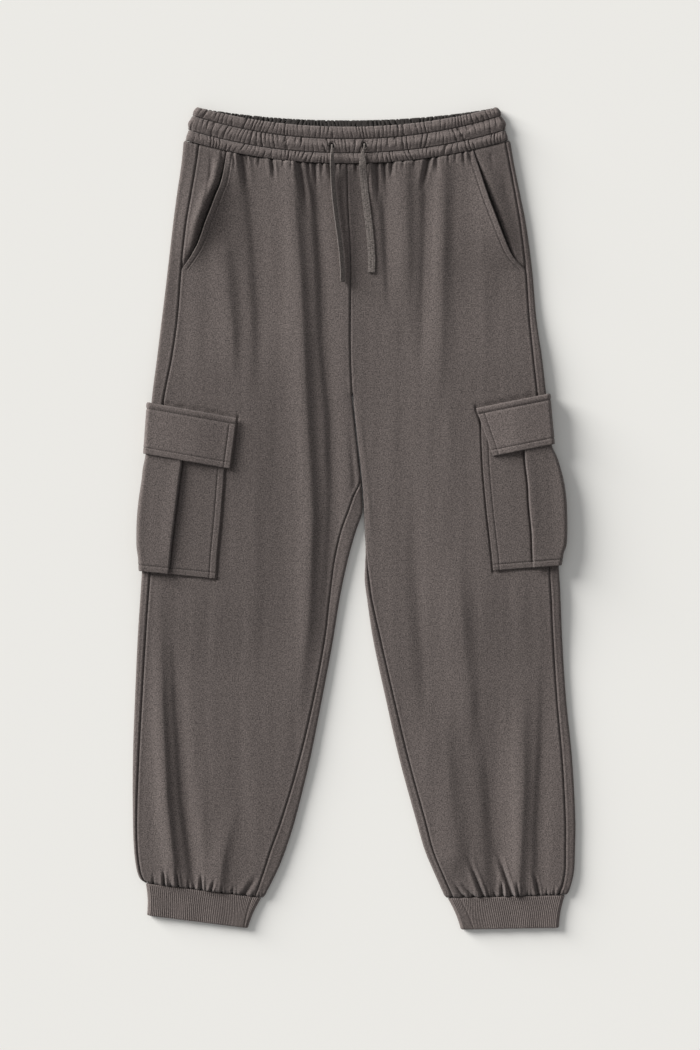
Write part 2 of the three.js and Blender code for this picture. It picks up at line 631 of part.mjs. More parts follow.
// The centre of the cloth of a cargo pocket across a row. It lies on the leg, folds back under the box pleat
// and over it again, turns round the leg's edge and lies flat underneath.
function pocketPath(leg, lines, rowY) {
  const dir = leg.inboard;
  const half = POCKET_CLOTH / 2;
  const base = (x) => topSkin(leg, x, rowY) + LAYER_GAP + half;
  const hidden = lines.pleat - dir * PLEAT_DEPTH;
  const path = [];
  const run = (from, to, count, height) => {
    for (let i = 0; i < count; i++) {
      const x = lerp(from, to, i / (count - 1));
      path.push({ x, z: base(x) + height });
    }
  };
  run(lines.inner, hidden, 4, 0);
  path.push({ x: hidden - (dir * PLEAT_LAYER) / 2, z: base(hidden) + PLEAT_LAYER / 2 });
  run(hidden, lines.pleat, 2, PLEAT_LAYER);
  path.push({ x: lines.pleat + (dir * PLEAT_LAYER) / 2, z: base(lines.pleat) + 1.5 * PLEAT_LAYER });
  const edge = lines.edge + dir * half;
  run(lines.pleat, edge + dir * EDGE_TURN, 3, 2 * PLEAT_LAYER);
  turnUnder(path, dir, edge, FLAP_CLOTH + SEAM_GAP + half, lines.inner);
  return path;
}

// Cargo pocket: one piece of cloth from its inner edge on the front, over the side seam, to underneath
function cargoPocket(leg) {
  const half = POCKET_CLOTH / 2;
  const { flapTop, flapBottom, bottom, slope, bottomSlope } = leg.pocket;
  const mouthY = flapTop - POCKET_MOUTH_DROP;
  const below = [14, 34, 62, 92, 120].map((drop) => flapBottom - drop);
  const skins = [mouthY, lerp(mouthY, flapBottom, 0.5), flapBottom - 1, ...below, bottom].map((rowY) => {
    const share = (mouthY - rowY) / (mouthY - bottom);
    const [edge, pleat, inner] = ['edge', 'pleat', 'inner'].map((k) => read(leg.pocketLines, k, rowY));
    const path = pocketPath(leg, { edge, pleat, inner }, rowY);
    return skinsOf(path, leg.inboard * half, rowY, lerp(slope, bottomSlope, share), edge);
  });
  const flat = (skin) => skins.map((s) => s[skin]);
  return wall(flat('outer'), flat('inner'), everyPoint(skins[0].outer.length));
}

// Flap of a cargo pocket: two layers sewn as one, lying over the pocket's top and round the leg's edge
function cargoFlap(leg) {
  const rows = 5;
  const half = FLAP_CLOTH / 2;
  const dir = leg.inboard;
  const { flapTop, flapBottom, slope } = leg.pocket;
  const skins = everyPoint(rows).map((r) => {
    const rowY = lerp(flapTop, flapBottom, r / (rows - 1));
    const edgeX = read(leg.flapLines, 'edge', rowY) + dir * half;
    const inner = read(leg.flapLines, 'inner', rowY);
    const pleat = read(leg.pocketLines, 'pleat', rowY);
    const over = (x) => {
      const past = smoothstep(dir * (inner - x), 0, dir * (inner - pleat) - 8);
      return topSkin(leg, x, rowY) + lerp(POCKET_CLOTH + FLAP_CLEARANCE, FLAP_STACK, past) + half;
    };
    const path = [];
    for (let i = 0; i <= 7; i++) {
      const x = lerp(inner, edgeX + dir * EDGE_TURN, i / 7);
      path.push({ x, z: over(x) });
    }
    turnUnder(path, dir, edgeX, half, inner);
    return skinsOf(path, dir * half, rowY, slope, edgeX);
  });
  const flat = (skin) => skins.map((s) => s[skin]);
  return wall(flat('outer'), flat('inner'), everyPoint(skins[0].outer.length));
}

// The outline of half a flattened ring, from one side to the other: quarter circles joined by a straight run
function halfRing(half, columns, radius) {
  const points = [];
  for (let i = 0; i < BAND_ARC_STEPS; i++) {
    const angle = (Math.PI / 2) * (i / BAND_ARC_STEPS);
    const nx = -Math.cos(angle);
    const nz = Math.sin(angle);
    points.push({ x: -half + radius * (1 + nx), rise: radius * nz, nx, nz });
  }
  for (let i = 0; i <= columns; i++) {
    points.push({ x: lerp(-half + radius, half - radius, i / columns), rise: radius, nx: 0, nz: 1 });
  }
  const mirrored = points.slice(0, BAND_ARC_STEPS).reverse();
  return [...points, ...mirrored.map((p) => ({ ...p, x: -p.x, nx: -p.nx }))];
}

// A height on a line of the waistband at x
function bandY(line, x) {
  const u = Math.min(1, Math.abs(x) / line.half);
  return line.sideY - line.dip * (1 - u ** DIP_POWER);
}

// One skin of the waistband: rows run across the garment, and each row goes up the band's lines.
// side is 1 for the front half and -1 for the back. depth moves the skin inwards and leaves it plain.
function bandSkin(lines, columns, side, depth) {
  const radius = BAND_HEIGHT / 2;
  const rings = lines.map((line) => halfRing(line.half, columns, radius));
  return rings[0].map((_, c) => lines.map((line, k) => {
    const { x, rise, nx, nz } = rings[k][c];
    const isEnd = c === 0 || c === rings[0].length - 1;
    const wave = (0.7 + 0.3 * Math.sin(c * 2.4 + k)) * ((c + (k > 3 ? 1 : 0)) % 2 ? 1 : -1);
    const out = (depth ? 0 : line.crown + line.ruffle * wave * (isEnd ? 0 : 1)) - depth;
    const z = radius + side * (rise + (isEnd ? SEAM_GAP / 2 : nz * out));
    const seam = k === 0 ? CROSS_SEAM_GAP / 2 : 0;
    return new THREE.Vector3(WAIST_CENTRE_X + x + nx * out, bandY(line, x) + seam, z);
  }));
}

// Front half of the waistband, with a buttonhole for each end of the drawcord
function waistbandFront(cut) {
  const outer = bandSkin(BAND_LINES, BAND_COLUMNS, 1, 0);
  const edges = [BAND_LINES[0], BAND_LINES.at(-1)];
  const inner = bandSkin(edges, BAND_COLUMNS, 1, BAND_WALL);
  return cut(wall(outer, inner, [0, BAND_LINES.length - 1]));
}

// Back half of the waistband. Its inside shows above the front's top edge, so the puckers are there.
function waistbandBack() {
  const edges = [BACK_BAND_LINES[0], BACK_BAND_LINES.at(-1)];
  const outer = bandSkin(edges, BACK_BAND_COLUMNS, -1, SKIN);
  const ruffled = bandSkin(BACK_BAND_LINES, BACK_BAND_COLUMNS, -1, BAND_WALL);
  const inner = ruffled.map((row, c) => row.map((p, k) => {
    const isEnd = c < BAND_ARC_STEPS || c >= ruffled.length - BAND_ARC_STEPS;
    const wave = BACK_BAND_LINES[k].ruffle * (0.7 + 0.3 * Math.sin(c * 1.9)) * (c % 2 ? 1 : -1);
    return p.clone().setZ(p.z + (isEnd ? 0 : wave));
  }));
  return wall(inner, outer, [0, BACK_BAND_LINES.length - 1]);
}

// Ribbed cuff: a flattened tube that narrows to its hem, ribbed above and plain underneath and inside
function ribCuff({ leg, top, bottom }) {
  const radius = CUFF_HEIGHT / 2;
  const loop = [];
  for (let i = 0; i <= 2 * CUFF_RIBS; i++) {
    loop.push({ share: i / (2 * CUFF_RIBS), nx: 0, nz: 1, rib: i % 2 ? 1 : -1 });
  }
  for (let i = 1; i < 2 * CUFF_ARC_STEPS; i++) {
    const angle = (Math.PI * i) / (2 * CUFF_ARC_STEPS);
    loop.push({ share: 1, nx: Math.sin(angle), nz: Math.cos(angle), rib: 0 });
  }
  for (let i = 0; i <= CUFF_UNDER_STEPS; i++) {
    loop.push({ share: 1 - i / CUFF_UNDER_STEPS, nx: 0, nz: -1, rib: 0 });
  }
  for (let i = 1; i < 2 * CUFF_ARC_STEPS; i++) {
    const angle = (Math.PI * i) / (2 * CUFF_ARC_STEPS);
    loop.push({ share: 0, nx: -Math.sin(angle), nz: -Math.cos(angle), rib: 0 });
  }
  // The seam with the leg follows the leg's lower edge
  const ends = [leg.cuffY, leg.cuffY + leg.cuffDrop];
  if (leg.inboard < 0) ends.reverse();
  const legEnds = [outerEdge(leg, leg.cuffY).x, innerEdge(leg, leg.cuffY).x].sort((a, b) => a - b);
  const topY = (x) => lerp(ends[0], ends[1], (x - legEnds[0]) / (legEnds[1] - legEnds[0])) - CROSS_SEAM_GAP;
  const row = (share, depth) => loop.map((p) => {
    const at = (from, to) => lerp(from + radius, to - radius, p.share);
    const out = radius + (depth ? -depth : p.rib * (RIB_HEIGHT / 2));
    const x = lerp(at(top.x0, top.x1), at(bottom.x0, bottom.x1), share) + p.nx * out;
    const hemY = lerp(bottom.y0, bottom.y1, (x - bottom.x0) / (bottom.x1 - bottom.x0));
    return new THREE.Vector3(x, lerp(topY(x), hemY, share), radius + p.nz * out);
  });
  const ribEnd = 2 * CUFF_RIBS;
  const ties = everyPoint(loop.length).filter((i) => i >= ribEnd || i % 10 === 0);
  const outer = [0, 0.5, 1].map((share) => row(share, 0));
  const inner = [0, 0.5, 1].map((share) => row(share, CUFF_WALL)).map((points) => ties.map((i) => points[i]));
  return wall(outer, inner, ties, true);
}

// The row of a leg that passes through the upper side at x, y
function rowAt(leg, x, y) {
  let rowY = y;
  for (let i = 0; i < 12; i++) rowY += y - planY(leg, rowY, x, 0);
  return rowY;
}

// Height of the garment's upper side under a tape as wide as it is, the highest puckers of the band included
function surfaceUnderCord(x, y) {
  const seamY = WAIST_Y - waistDip(x, WAIST_DIP.front);
  const leg = x < centreLine[0].x ? RIGHT : LEFT;
  const panel = topSkin(leg, x, rowAt(leg, x, Math.min(y, seamY)));
  const near = Math.exp(-Math.max(seamY - y, 0) / WAIST_PUCKER_REACH);
  const overBand = smoothstep(y, seamY - WAIST_PUCKER_REACH, seamY - 3);
  return lerp(panel + near + TAPE_CLEARANCE / 2, BAND_HEIGHT + BAND_PUCKERS, overBand);
}

// One free end of the drawcord: a flat tape, bunched up where it comes out of its buttonhole
function drawcord({ lean, hole, points }) {
  const exit = [
    [hole.x, hole.y, BAND_HEIGHT - BAND_WALL],
    [hole.x, hole.y - TAPE_CLEARANCE, BAND_HEIGHT],
    [hole.x, hole.y - TAPE_FREE_AT, TAPE_TOP],
  ];
  const raised = (TAPE_WIDTH / 2) * Math.abs(Math.sin(lean)) + (TAPE_THICKNESS / 2) * Math.cos(lean);
  const reach = raised + TAPE_CLEARANCE;
  const laid = points.map(([x, y]) => [x, y, surfaceUnderCord(x, y) + reach]);
  const route = new THREE.CatmullRomCurve3([...exit, ...laid].map((p) => new THREE.Vector3(...p)));
  const steps = 26;
  const sides = 8;
  const positions = [];
  for (let k = 0; k <= steps; k++) {
    const middle = route.getPoint(k / steps);
    const along = route.getTangent(k / steps);
    const down = Math.hypot(middle.x - hole.x, middle.y - hole.y);
    const spread = smoothstep(down, TAPE_FREE_AT, TAPE_SPREAD_AT);
    const turned = lean * smoothstep(down, TAPE_FREE_AT, TAPE_TURNED_AT);
    const across = new THREE.Vector3(1, 0, 0).applyAxisAngle(along, turned);
    across.addScaledVector(along, -across.dot(along)).normalize();
    const up = new THREE.Vector3().crossVectors(along, across);
    for (let i = 0; i < sides; i++) {
      const angle = (2 * Math.PI * (i + 0.5)) / sides;
      const outward = 1 / Math.cos(Math.PI / sides);
      const wide = (lerp(TAPE_BUNCHED, TAPE_WIDTH, spread) / 2) * Math.cos(angle) * outward;
      const thick = (lerp(TAPE_BUNCHED, TAPE_THICKNESS, spread) / 2) * Math.sin(angle) * outward;
      const point = middle.clone().addScaledVector(across, wide).addScaledVector(up, thick);
      positions.push(point.x, point.y, point.z);
    }
  }
  const faces = [];
  for (let k = 0; k < steps; k++) {
    for (let i = 0; i < sides; i++) {
      const a = k * sides + i;
      const b = k * sides + ((i + 1) % sides);
      faces.push(a, b, b + sides, a, b + sides, a + sides);
    }
  }
  const last = steps * sides;
  for (let i = 1; i + 1 < sides; i++) faces.push(0, i + 1, i, last, last + i, last + i + 1);
  return solid(positions, faces);
}

const wasm = await Module();
wasm.setup();

function toManifold(geometry) {
  const bare = geometry.clone();
  bare.deleteAttribute('normal');
  bare.deleteAttribute('uv');
  const merged = mergeVertices(bare);
  const vertProperties = Float32Array.from(merged.attributes.position.array);
  const triVerts = Uint32Array.from(merged.index.array);
  return new wasm.Manifold(new wasm.Mesh({ numProp: 3, vertProperties, triVerts }));
}

// Cuts the buttonholes through the waistband's front
function cutButtonholes(band) {
  let cut = toManifold(band);
  for (const { hole } of Object.values(CORDS)) {
    const slot = new THREE.BoxGeometry(BUTTONHOLE.width, BUTTONHOLE.height, BAND_HEIGHT);
    slot.translate(hole.x, hole.y - BUTTONHOLE.drop, BAND_HEIGHT);
    cut = cut.subtract(toManifold(slot));
  }
  const { vertProperties, triVerts } = cut.getMesh();
  return solid(Array.from(vertProperties), Array.from(triVerts));
}

function named(name, geometry, finish) {
  const mesh = new THREE.Mesh(geometry, new THREE.MeshStandardMaterial(finish));
  mesh.name = name;
  return mesh;
}

const sweatpants = new THREE.Group();
for (const leg of [RIGHT, LEFT]) {
  sweatpants.add(named(`front_${leg.side}`, frontPanel(leg), SWEATSHIRT));
  sweatpants.add(named(`back_${leg.side}`, backPanel(leg), SWEATSHIRT));
  sweatpants.add(named(`pocket_facing_${leg.side}`, pocketFacing(leg), SWEATSHIRT));
  sweatpants.add(named(`cargo_pocket_${leg.side}`, cargoPocket(leg), SWEATSHIRT));
  sweatpants.add(named(`cargo_flap_${leg.side}`, cargoFlap(leg), SWEATSHIRT));
  sweatpants.add(named(`cuff_${leg.side}`, ribCuff(CUFFS[leg.side]), RIB_KNIT));
  sweatpants.add(named(`drawcord_${leg.side}`, drawcord(CORDS[leg.side]), TAPE));
}
sweatpants.add(named('waistband_front', waistbandFront(cutButtonholes), SWEATSHIRT));
sweatpants.add(named('waistband_back', waistbandBack(), SWEATSHIRT));

export default sweatpants;
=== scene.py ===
"""Jogger sweatpants laid flat on their back: their cloth, sewing and drawcord, and the stage around them."""
import math
from types import SimpleNamespace

import bpy
import numpy as np
from bpy.props import FloatProperty, FloatVectorProperty, IntProperty, PointerProperty
from bpy.types import Operator, Panel, PropertyGroup
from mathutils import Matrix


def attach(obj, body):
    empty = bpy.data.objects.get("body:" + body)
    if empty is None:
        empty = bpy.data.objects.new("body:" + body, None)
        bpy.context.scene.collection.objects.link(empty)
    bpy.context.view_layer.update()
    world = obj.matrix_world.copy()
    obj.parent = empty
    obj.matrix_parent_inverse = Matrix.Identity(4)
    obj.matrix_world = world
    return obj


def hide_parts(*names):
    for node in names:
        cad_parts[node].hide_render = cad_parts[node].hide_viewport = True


bl_info = {
    "name": "Jogger sweatpants",
    "version": (1, 0, 0),
    "blender": (4, 5, 0),
    "location": "View3D > Sidebar > Sweatpants",
    "description": "Cloth, sewing and drawcord of jogger sweatpants laid flat",
    "category": "Object",
}

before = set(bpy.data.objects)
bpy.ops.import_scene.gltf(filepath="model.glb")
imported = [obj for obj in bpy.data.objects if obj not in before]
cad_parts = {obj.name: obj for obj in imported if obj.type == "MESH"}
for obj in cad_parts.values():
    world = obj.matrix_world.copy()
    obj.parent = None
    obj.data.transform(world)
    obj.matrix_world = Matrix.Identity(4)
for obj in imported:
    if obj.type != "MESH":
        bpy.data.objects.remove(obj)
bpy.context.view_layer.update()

# Sizes below are millimetres. Meshes are metres.
MM = 0.001

# Cloth thicknesses and clearances
CLOTH = 2.2
POCKET_CLOTH = 1.6
FLAP_CLOTH = 2.4
BAND_WALL = 3.6
CUFF_WALL = 2.4
SEAM_GAP = 0.3
CROSS_SEAM_GAP = 0.5
LAYER_GAP = 0.6

# Heights of the lying garment
EDGE_HEIGHT = 7.2
BODY_HEIGHT = 8.2
WAIST_HEIGHT = 9.8
BAND_HEIGHT = 11
CUFF_HEIGHT = 6.8
EDGE_SOFTNESS = 18

# Levels down the garment, and how far the waist dips in the middle
WAIST_Y = 471.25
CROTCH_Y = 144
CROTCH_FADE = 14
SLANT_END_Y = 310
WAIST_CENTRE_X = -8.25
WAIST_HALF = 203.75
FRONT_DIP = 29
BACK_DIP = 20
DIP_POWER = 2.1
DIP_FADE = 210
WAIST_RISE_REACH = 70
CUFF_FADE = 150

# Under a cargo pocket the leg is held up by the pocket's and the flap's turned-under halves
POCKET_LIFT = FLAP_CLOTH + POCKET_CLOTH + 0.7
EDGE_TURN = 4
PLEAT_DEPTH = 13
PLEAT_GROOVE = 2.7
PRESSED = 1.7
LIFT_REACH = 108
LIFT_FADE = 110
LIFT_MARGIN = 24

# Ridges stand up more than valleys sink in
RIDGE = 1.6
VALLEY = 1.1
# A crease has one steep flank: half widths of a valley to its left and right, as shares, and a ridge's the other way
STEEP = 0.6
GENTLE = 1.25
GATHER_DEPTH = 3.8

# Distances from a seam at which a panel has points, and from a hem with a row of topstitching
SEAM_STEPS = (0, 0.35, 0.8, 1.4, 2.2, 3.3, 4.8, 6.3, 7, 7.7, 9)
END_STEPS = (0, 0.4, 0.9, 1.6, 2.6, 3.8, 5.4, 7.4, 10, 13)
HEM_STEPS = (0, 0.3, 0.7, 1.3, 2.4, 4.2, 6, 7.2, 7.8, 8.4, 9.6, 11.5)
PLEAT_STEPS = (0, 4, 8, 11.5, 13.3, 14.2, 14.8, 15.3, 15.7, 16.1, 16.6, 17.2, 18.2, 19.6)
HEM_STITCH = 7.8
SLANT_STITCH = 7


def table(columns, rows):
    """A short table: the name of each column, with its values from top to bottom."""
    return dict(zip(columns.split(), np.array(rows, float).T))


RIGHT = SimpleNamespace(
    side="right", inboard=1, cuff_y=-455, cuff_drop=-19, mouth=7, sag=5, crest=2.6,
    outer=table("y edge seam", [
        [471, -212, -193], [441, -215, -197], [404, -220.5, -203], [366, -225.5, -209], [310, -232, -215],
        [247, -239.5, -220], [197, -245.5, -227], [144, -252, -237], [47, -258, -244.5], [-77, -264.5, -254],
        [-152, -269.5, -259.5], [-227, -273, -264], [-302, -275.5, -268], [-377, -275.5, -270.5],
        [-415, -274, -269.5], [-438, -271, -266.5], [-449, -267.4, -263], [-455, -262, -258],
    ]),
    inner=table("y edge seam", [
        [144, -1, -1], [97, 4, 4], [47, 9.5, 8.5], [27, 10.8, 0], [7, 11, -7], [-15, 3.5, -15],
        [-52, -7, -23.5], [-102, -17.5, -30], [-152, -25.5, -36], [-227, -39.5, -50], [-302, -54.5, -67.5],
        [-377, -73, -89.5], [-415, -85, -103], [-440, -95, -111], [-474, -112, -123],
    ]),
    slant=table("y x", [
        [471, -158.3], [431, -164.8], [411, -171.6], [391, -178.1], [371, -185.1], [352, -191], [337, -197.3],
        [321, -206.9], [310, -215],
    ]),
    pocket=SimpleNamespace(flap_top=144, flap_bottom=80, bottom=-66, slope=0.176, bottom_slope=0.1),
    pocket_lines=table("y edge pleat inner", [
        [150, -254.4, -212, -160.5], [97, -257.6, -215, -160.5], [78, -259.4, -215.5, -161],
        [62, -262.6, -217.5, -162], [47, -264.3, -219.5, -163], [22, -268, -222.5, -165],
        [-2, -270.2, -225.5, -167], [-34, -270.6, -229, -170], [-50, -268.6, -230.5, -171],
        [-66, -267.8, -232, -172],
    ]),
    flap_lines=table("y edge inner", [[144, -257.8, -145.5], [80, -262.3, -154]]),
    # Each fold is its half width, then x, y and height at points along it
    folds=[
        (10, [(-57, 445, -3), (-47, 400, -3.4), (-40, 305, -3.4), (-38, 220, -3.2), (-29, 129, -3), (-26, 28, -2.4),
              (-31, -67, -1.8), (-38, -160, -0.6)]),
        (13, [(-78, 445, 2.2), (-67, 300, 3), (-59, 130, 3), (-52, 0, 3), (-57, -120, 2.2), (-70, -250, 0)]),
        (13, [(-133, 445, -2.6), (-123, 340, -3), (-118, 250, -2.8), (-118, 140, 0)]),
        (14, [(-160, 330, 1.6), (-152, 230, 1.8), (-150, 170, 0)]),
        (9, [(-240, -140, 0), (-239, -227, 1.8), (-233, -352, 2.8), (-225, -427, 2.8), (-223, -452, 1.6)]),
        (9, [(-224, -140, 0), (-221, -227, -2.4), (-213, -352, -3.4), (-203, -427, -3.6), (-200, -455, -2.8)]),
        (18, [(-192, -300, 0), (-188, -390, 1), (-190, -450, 1)]),
        (12, [(-150, -360, 0), (-165, -430, 2), (-168, -462, 2)]),
        (7, [(0, 120, -1.5), (3, 40, -2)]),
        (24, [(-168, 446, 0.4), (-177, 404, 2.2), (-188, 365, 2.4), (-200, 335, 0.8), (-212, 312, 0)]),
        (20, [(8, 445, -1.6), (8, 330, -1.6), (8, 240, 0)]),
    ],
    facing_folds=[
        (3.4, [(-177.5, 449, -0.5), (-178.4, 429, -1.5), (-182.6, 408, -1.2), (-188, 387, 0)]),
        (5, [(-169, 452, 0.5), (-171, 437, 1.2), (-176, 414, 0)]),
        (2.2, [(-164.4, 457, -1.2), (-164.5, 443, -1.4), (-169, 424, 0)]),
    ],
    # Gathers: where each starts at the seam, where it dies out, its depth there and its half width
    gathers=table("x y end_x end_y depth width", [
        [-150, 450, -147, 430, 0.7, 2], [-139, 448, -131, 396, 1.6, 4], [-133, 447, -131, 435, 0.7, 1.8],
        [-118, 446, -117, 437, 0.5, 1.8], [-102, 445, -98, 418, 1.6, 2.2], [-88, 444, -88, 434, 0.5, 2],
        [-78, 444, -77, 430, 0.5, 2], [-68.4, 443, -55, 366, 2, 3.4], [-57, 443, -54, 426, 0.7, 2],
        [-48.8, 443, -45, 400, 1.4, 2.4], [-39, 442, -38, 428, 0.6, 2], [-30, 442, -27, 414, 1, 2.4],
        [-22, 442, -21, 430, 0.6, 1.8], [-16, 442, -15.5, 431, 0.5, 1.6],
        [-250, -456, -249, -440, 0.7, 1.8], [-236.4, -458, -237, -436, 2, 1.7], [-228, -459, -228, -449, 0.6, 1.5],
        [-219, -460, -222, -434, 1.8, 1.8], [-206, -462, -206, -450, 0.8, 1.6], [-199, -463, -198, -452, 0.7, 1.5],
        [-190, -464, -190.5, -440, 2, 1.9], [-178, -465, -173, -450, 1.5, 1.7], [-165, -467, -163, -455, 0.7, 1.7],
        [-152, -469, -149, -456, 0.6, 1.8], [-137, -470, -117, -442, 1.1, 3], [-126, -472, -122, -462, 0.5, 1.6],
    ]),
)

LEFT = SimpleNamespace(
    side="left", inboard=-1, cuff_y=-470, cuff_drop=-4, mouth=6, sag=3, crest=0.4,
    outer=table("y edge seam", [
        [471, 195.5, 189.5], [441, 200.5, 195], [404, 208, 202], [366, 215.5, 208.5], [310, 223, 215],
        [247, 228.5, 219.5], [197, 235.5, 224.5], [144, 241, 230], [47, 247.5, 235.5], [-77, 257, 245],
        [-152, 260.5, 249], [-227, 265.5, 254], [-302, 273, 260.5], [-377, 277, 264.5], [-415, 276.5, 264.5],
        [-440, 275.5, 264], [-457, 272, 261], [-470, 267.5, 256.5],
    ]),
    inner=table("y edge seam", [
        [144, -0.5, -0.5], [97, 4.6, 4.6], [47, 10.1, 10.1], [-2, 13, 13], [-46, 15, 15.5], [-77, 14, 19.5],
        [-102, 17, 23], [-152, 24.5, 34], [-227, 40.5, 51], [-302, 57.5, 69], [-377, 78, 89.5],
        [-415, 89, 99.5], [-447, 102.5, 112.5], [-474, 114.5, 124.5],
    ]),
    slant=table("y x", [
        [471, 149.5], [438, 159], [407, 168], [376, 178.5], [346, 189.5], [331, 196], [320, 203.5], [310, 215],
    ]),
    pocket=SimpleNamespace(flap_top=155, flap_bottom=92, bottom=-59, slope=0.2, bottom_slope=0.075),
    pocket_lines=table("y edge pleat inner", [
        [158, 242.4, 211, 158], [104, 246.3, 214, 160], [90, 247.4, 214.5, 160.5], [74, 254.5, 216, 161.5],
        [49, 261.5, 219, 163.5], [22, 265.5, 220.5, 166], [-16, 266.5, 224, 170], [-34, 265.5, 224.5, 172],
        [-44, 262, 225, 173], [-59, 259.5, 225.5, 174],
    ]),
    flap_lines=table("y edge inner", [[155, 245.3, 152.5], [92, 250.9, 173.5]]),
    folds=[
        (9, [(37, 443, -3), (38, 400, -3.2), (42, 322, -2.8), (46, 240, 0)]),
        (10, [(91, 448, -2.6), (90, 360, -2.6), (87, 260, -1.6), (84, 180, 0)]),
        (15, [(112, 440, 1.6), (110, 330, 2.2), (108, 220, 1.4), (104, 120, 0)]),
        (14, [(64, 440, 1.4), (67, 330, 1.6), (66, 220, 0)]),
        (16, [(74, 20, 0), (80, -80, -1.6), (88, -200, -1.8), (100, -280, 0)]),
        (18, [(126, -40, 0), (134, -130, 1.6), (144, -230, 1.4), (150, -290, 0)]),
        (20, [(106, -210, 0), (117, -320, 1.8), (128, -420, 2)]),
        (19, [(158, -210, 0), (170, -330, -3.2), (178, -420, -3.4), (180, -465, -2.4)]),
        (10, [(238, -170, 0), (235, -290, -2.2), (230, -390, -2.8), (231, -462, -2.6)]),
        (12, [(210, -220, 0), (211, -330, 1.8), (207, -430, 2.4), (204, -468, 2)]),
        (7, [(4, 125, 1.2), (16, 20, 1.6), (20, -30, 0)]),
        (22, [(162, 446, 0.4), (172, 404, 1.6), (186, 360, 1.8), (197, 332, 0.8), (211, 312, 0)]),
        (20, [(8, 445, -1.6), (8, 330, -1.6), (8, 240, 0)]),
    ],
    facing_folds=[
        (2.4, [(171, 453, -1), (173, 441, -0.5), (174, 430, 0)]),
        (5, [(184, 440, 0), (190, 408, -0.8), (198, 380, 0)]),
    ],
    gathers=table("x y end_x end_y depth width", [
        [3, 442, 4, 424, 0.8, 2], [15.6, 442, 17, 412, 1.2, 2.4], [28, 442, 32, 380, 2.2, 3.6],
        [37.6, 443, 41, 412, 1.3, 2.4], [48, 443, 46, 420, 1.3, 2.4], [62, 443, 62.5, 434, 0.5, 2],
        [76, 444, 76, 436, 0.5, 2], [93, 446, 84, 406, 1.9, 2.8], [103, 447, 105, 422, 0.8, 2.4],
        [118, 449, 119, 439, 0.5, 2], [127, 450, 127, 441, 0.4, 1.8], [136.6, 452, 138.5, 436, 0.9, 1.9],
        [145, 454, 147, 442, 0.6, 2],
        [122, -474, 117, -462, 0.5, 1.6], [137, -473, 121, -449, 1.1, 2.4], [150, -473, 130, -453, 1.1, 2.2],
        [161.3, -472, 140, -416, 1.9, 2.5], [168, -472, 166, -460, 0.8, 1.5], [176, -471, 173, -460, 0.6, 1.5],
        [185.5, -471, 185, -448, 2, 1.9], [197, -471, 178, -412, 2.4, 2.6], [205, -471, 203, -450, 1.6, 1.8],
        [217, -470, 217, -460, 0.6, 1.6], [231, -470, 223, -434, 1.7, 2.1], [241, -470, 241, -461, 0.6, 1.5],
        [250, -470, 251, -459, 0.6, 1.6], [256, -470, 261, -455, 1, 1.6],
    ]),
)

CENTRE_LINE = table("y x", [[442, -8.5], [390, -7], [332, -4], [210, -4], [152, -1.6], [144, -0.75]])

# Shallow creases on the hidden side, pressed up into the cloth
UNDER_FOLDS = [
    (8, [(-150, 400, -0.9), (-140, 300, -1), (-146, 210, 0)]), (10, [(-60, 430, -1), (-70, 330, -0.9), (-66, 250, 0)]),
    (9, [(62, 420, -0.9), (70, 310, -1), (64, 215, 0)]), (8, [(150, 400, -0.8), (142, 300, -0.9), (150, 240, 0)]),
    (11, [(-90, 80, 0), (-84, -40, -1), (-96, -160, -0.9), (-110, -230, 0)]),
    (10, [(96, 60, 0), (100, -60, -1), (118, -180, -0.8), (130, -260, 0)]),
    (9, [(-206, -330, 0), (-214, -400, -1), (-210, -452, -0.9)]),
    (8, [(-160, -380, 0), (-166, -452, -1)]),
    (9, [(214, -340, 0), (222, -410, -1), (216, -466, -0.9)]), (8, [(160, -390, 0), (168, -466, -1)]),
]

# The waistband's lines, from its top edge down to the waist seam. Two rows of stitching part three channels.
BAND_LINES = table("y dip half crown", [
    [512.5, 24.7, 188.2, -0.7], [507, 26.8, 190.8, 0.8], [501.8, 29.3, 193.2, -0.9], [493, 29.7, 196.9, 1.1],
    [484, 29, 198.2, -0.9], [477.5, 29, 199.1, 0.7], [WAIST_Y, 29, 202, -0.9],
])
BACK_BAND_LINES = table("y dip half crown", [
    [512.5, 16, 188.2, -0.3], [507, 16.5, 190.8, 0.5], [501.8, 17, 193.2, -0.4], [493, 18, 196.9, 0.5],
    [484, 19, 198.2, -0.4], [477.5, 19.6, 199.1, 0.4], [WAIST_Y, 20, 202, -0.4],
])
STITCH_LINES = (501.8, 484)
# Each gathered channel: its lines, the pitch of its puckers, how high they stand and how far they slant
CHANNELS = table("top bottom pitch height slant", [
    [512.5, 501.8, 5.4, 2, 0.5], [501.8, 484, 6.1, 2.2, 0.7], [484, WAIST_Y, 5.3, 2, -0.6],
])

CUFFS = {
    "right": SimpleNamespace(leg=RIGHT, top=(-259.5, -115), hem=((-258, -496), (-132, -512)), seam=(0.945, 0.99)),
    "left": SimpleNamespace(leg=LEFT, top=(117.5, 264), hem=((134, -513.7), (256.5, -511.5)), seam=(0.08, 0.11)),
}
CUFF_RIBS = 56
RIB_LEAN = 0.85

TAPE_WIDTH = 9
TAPE_THICKNESS = 1.8
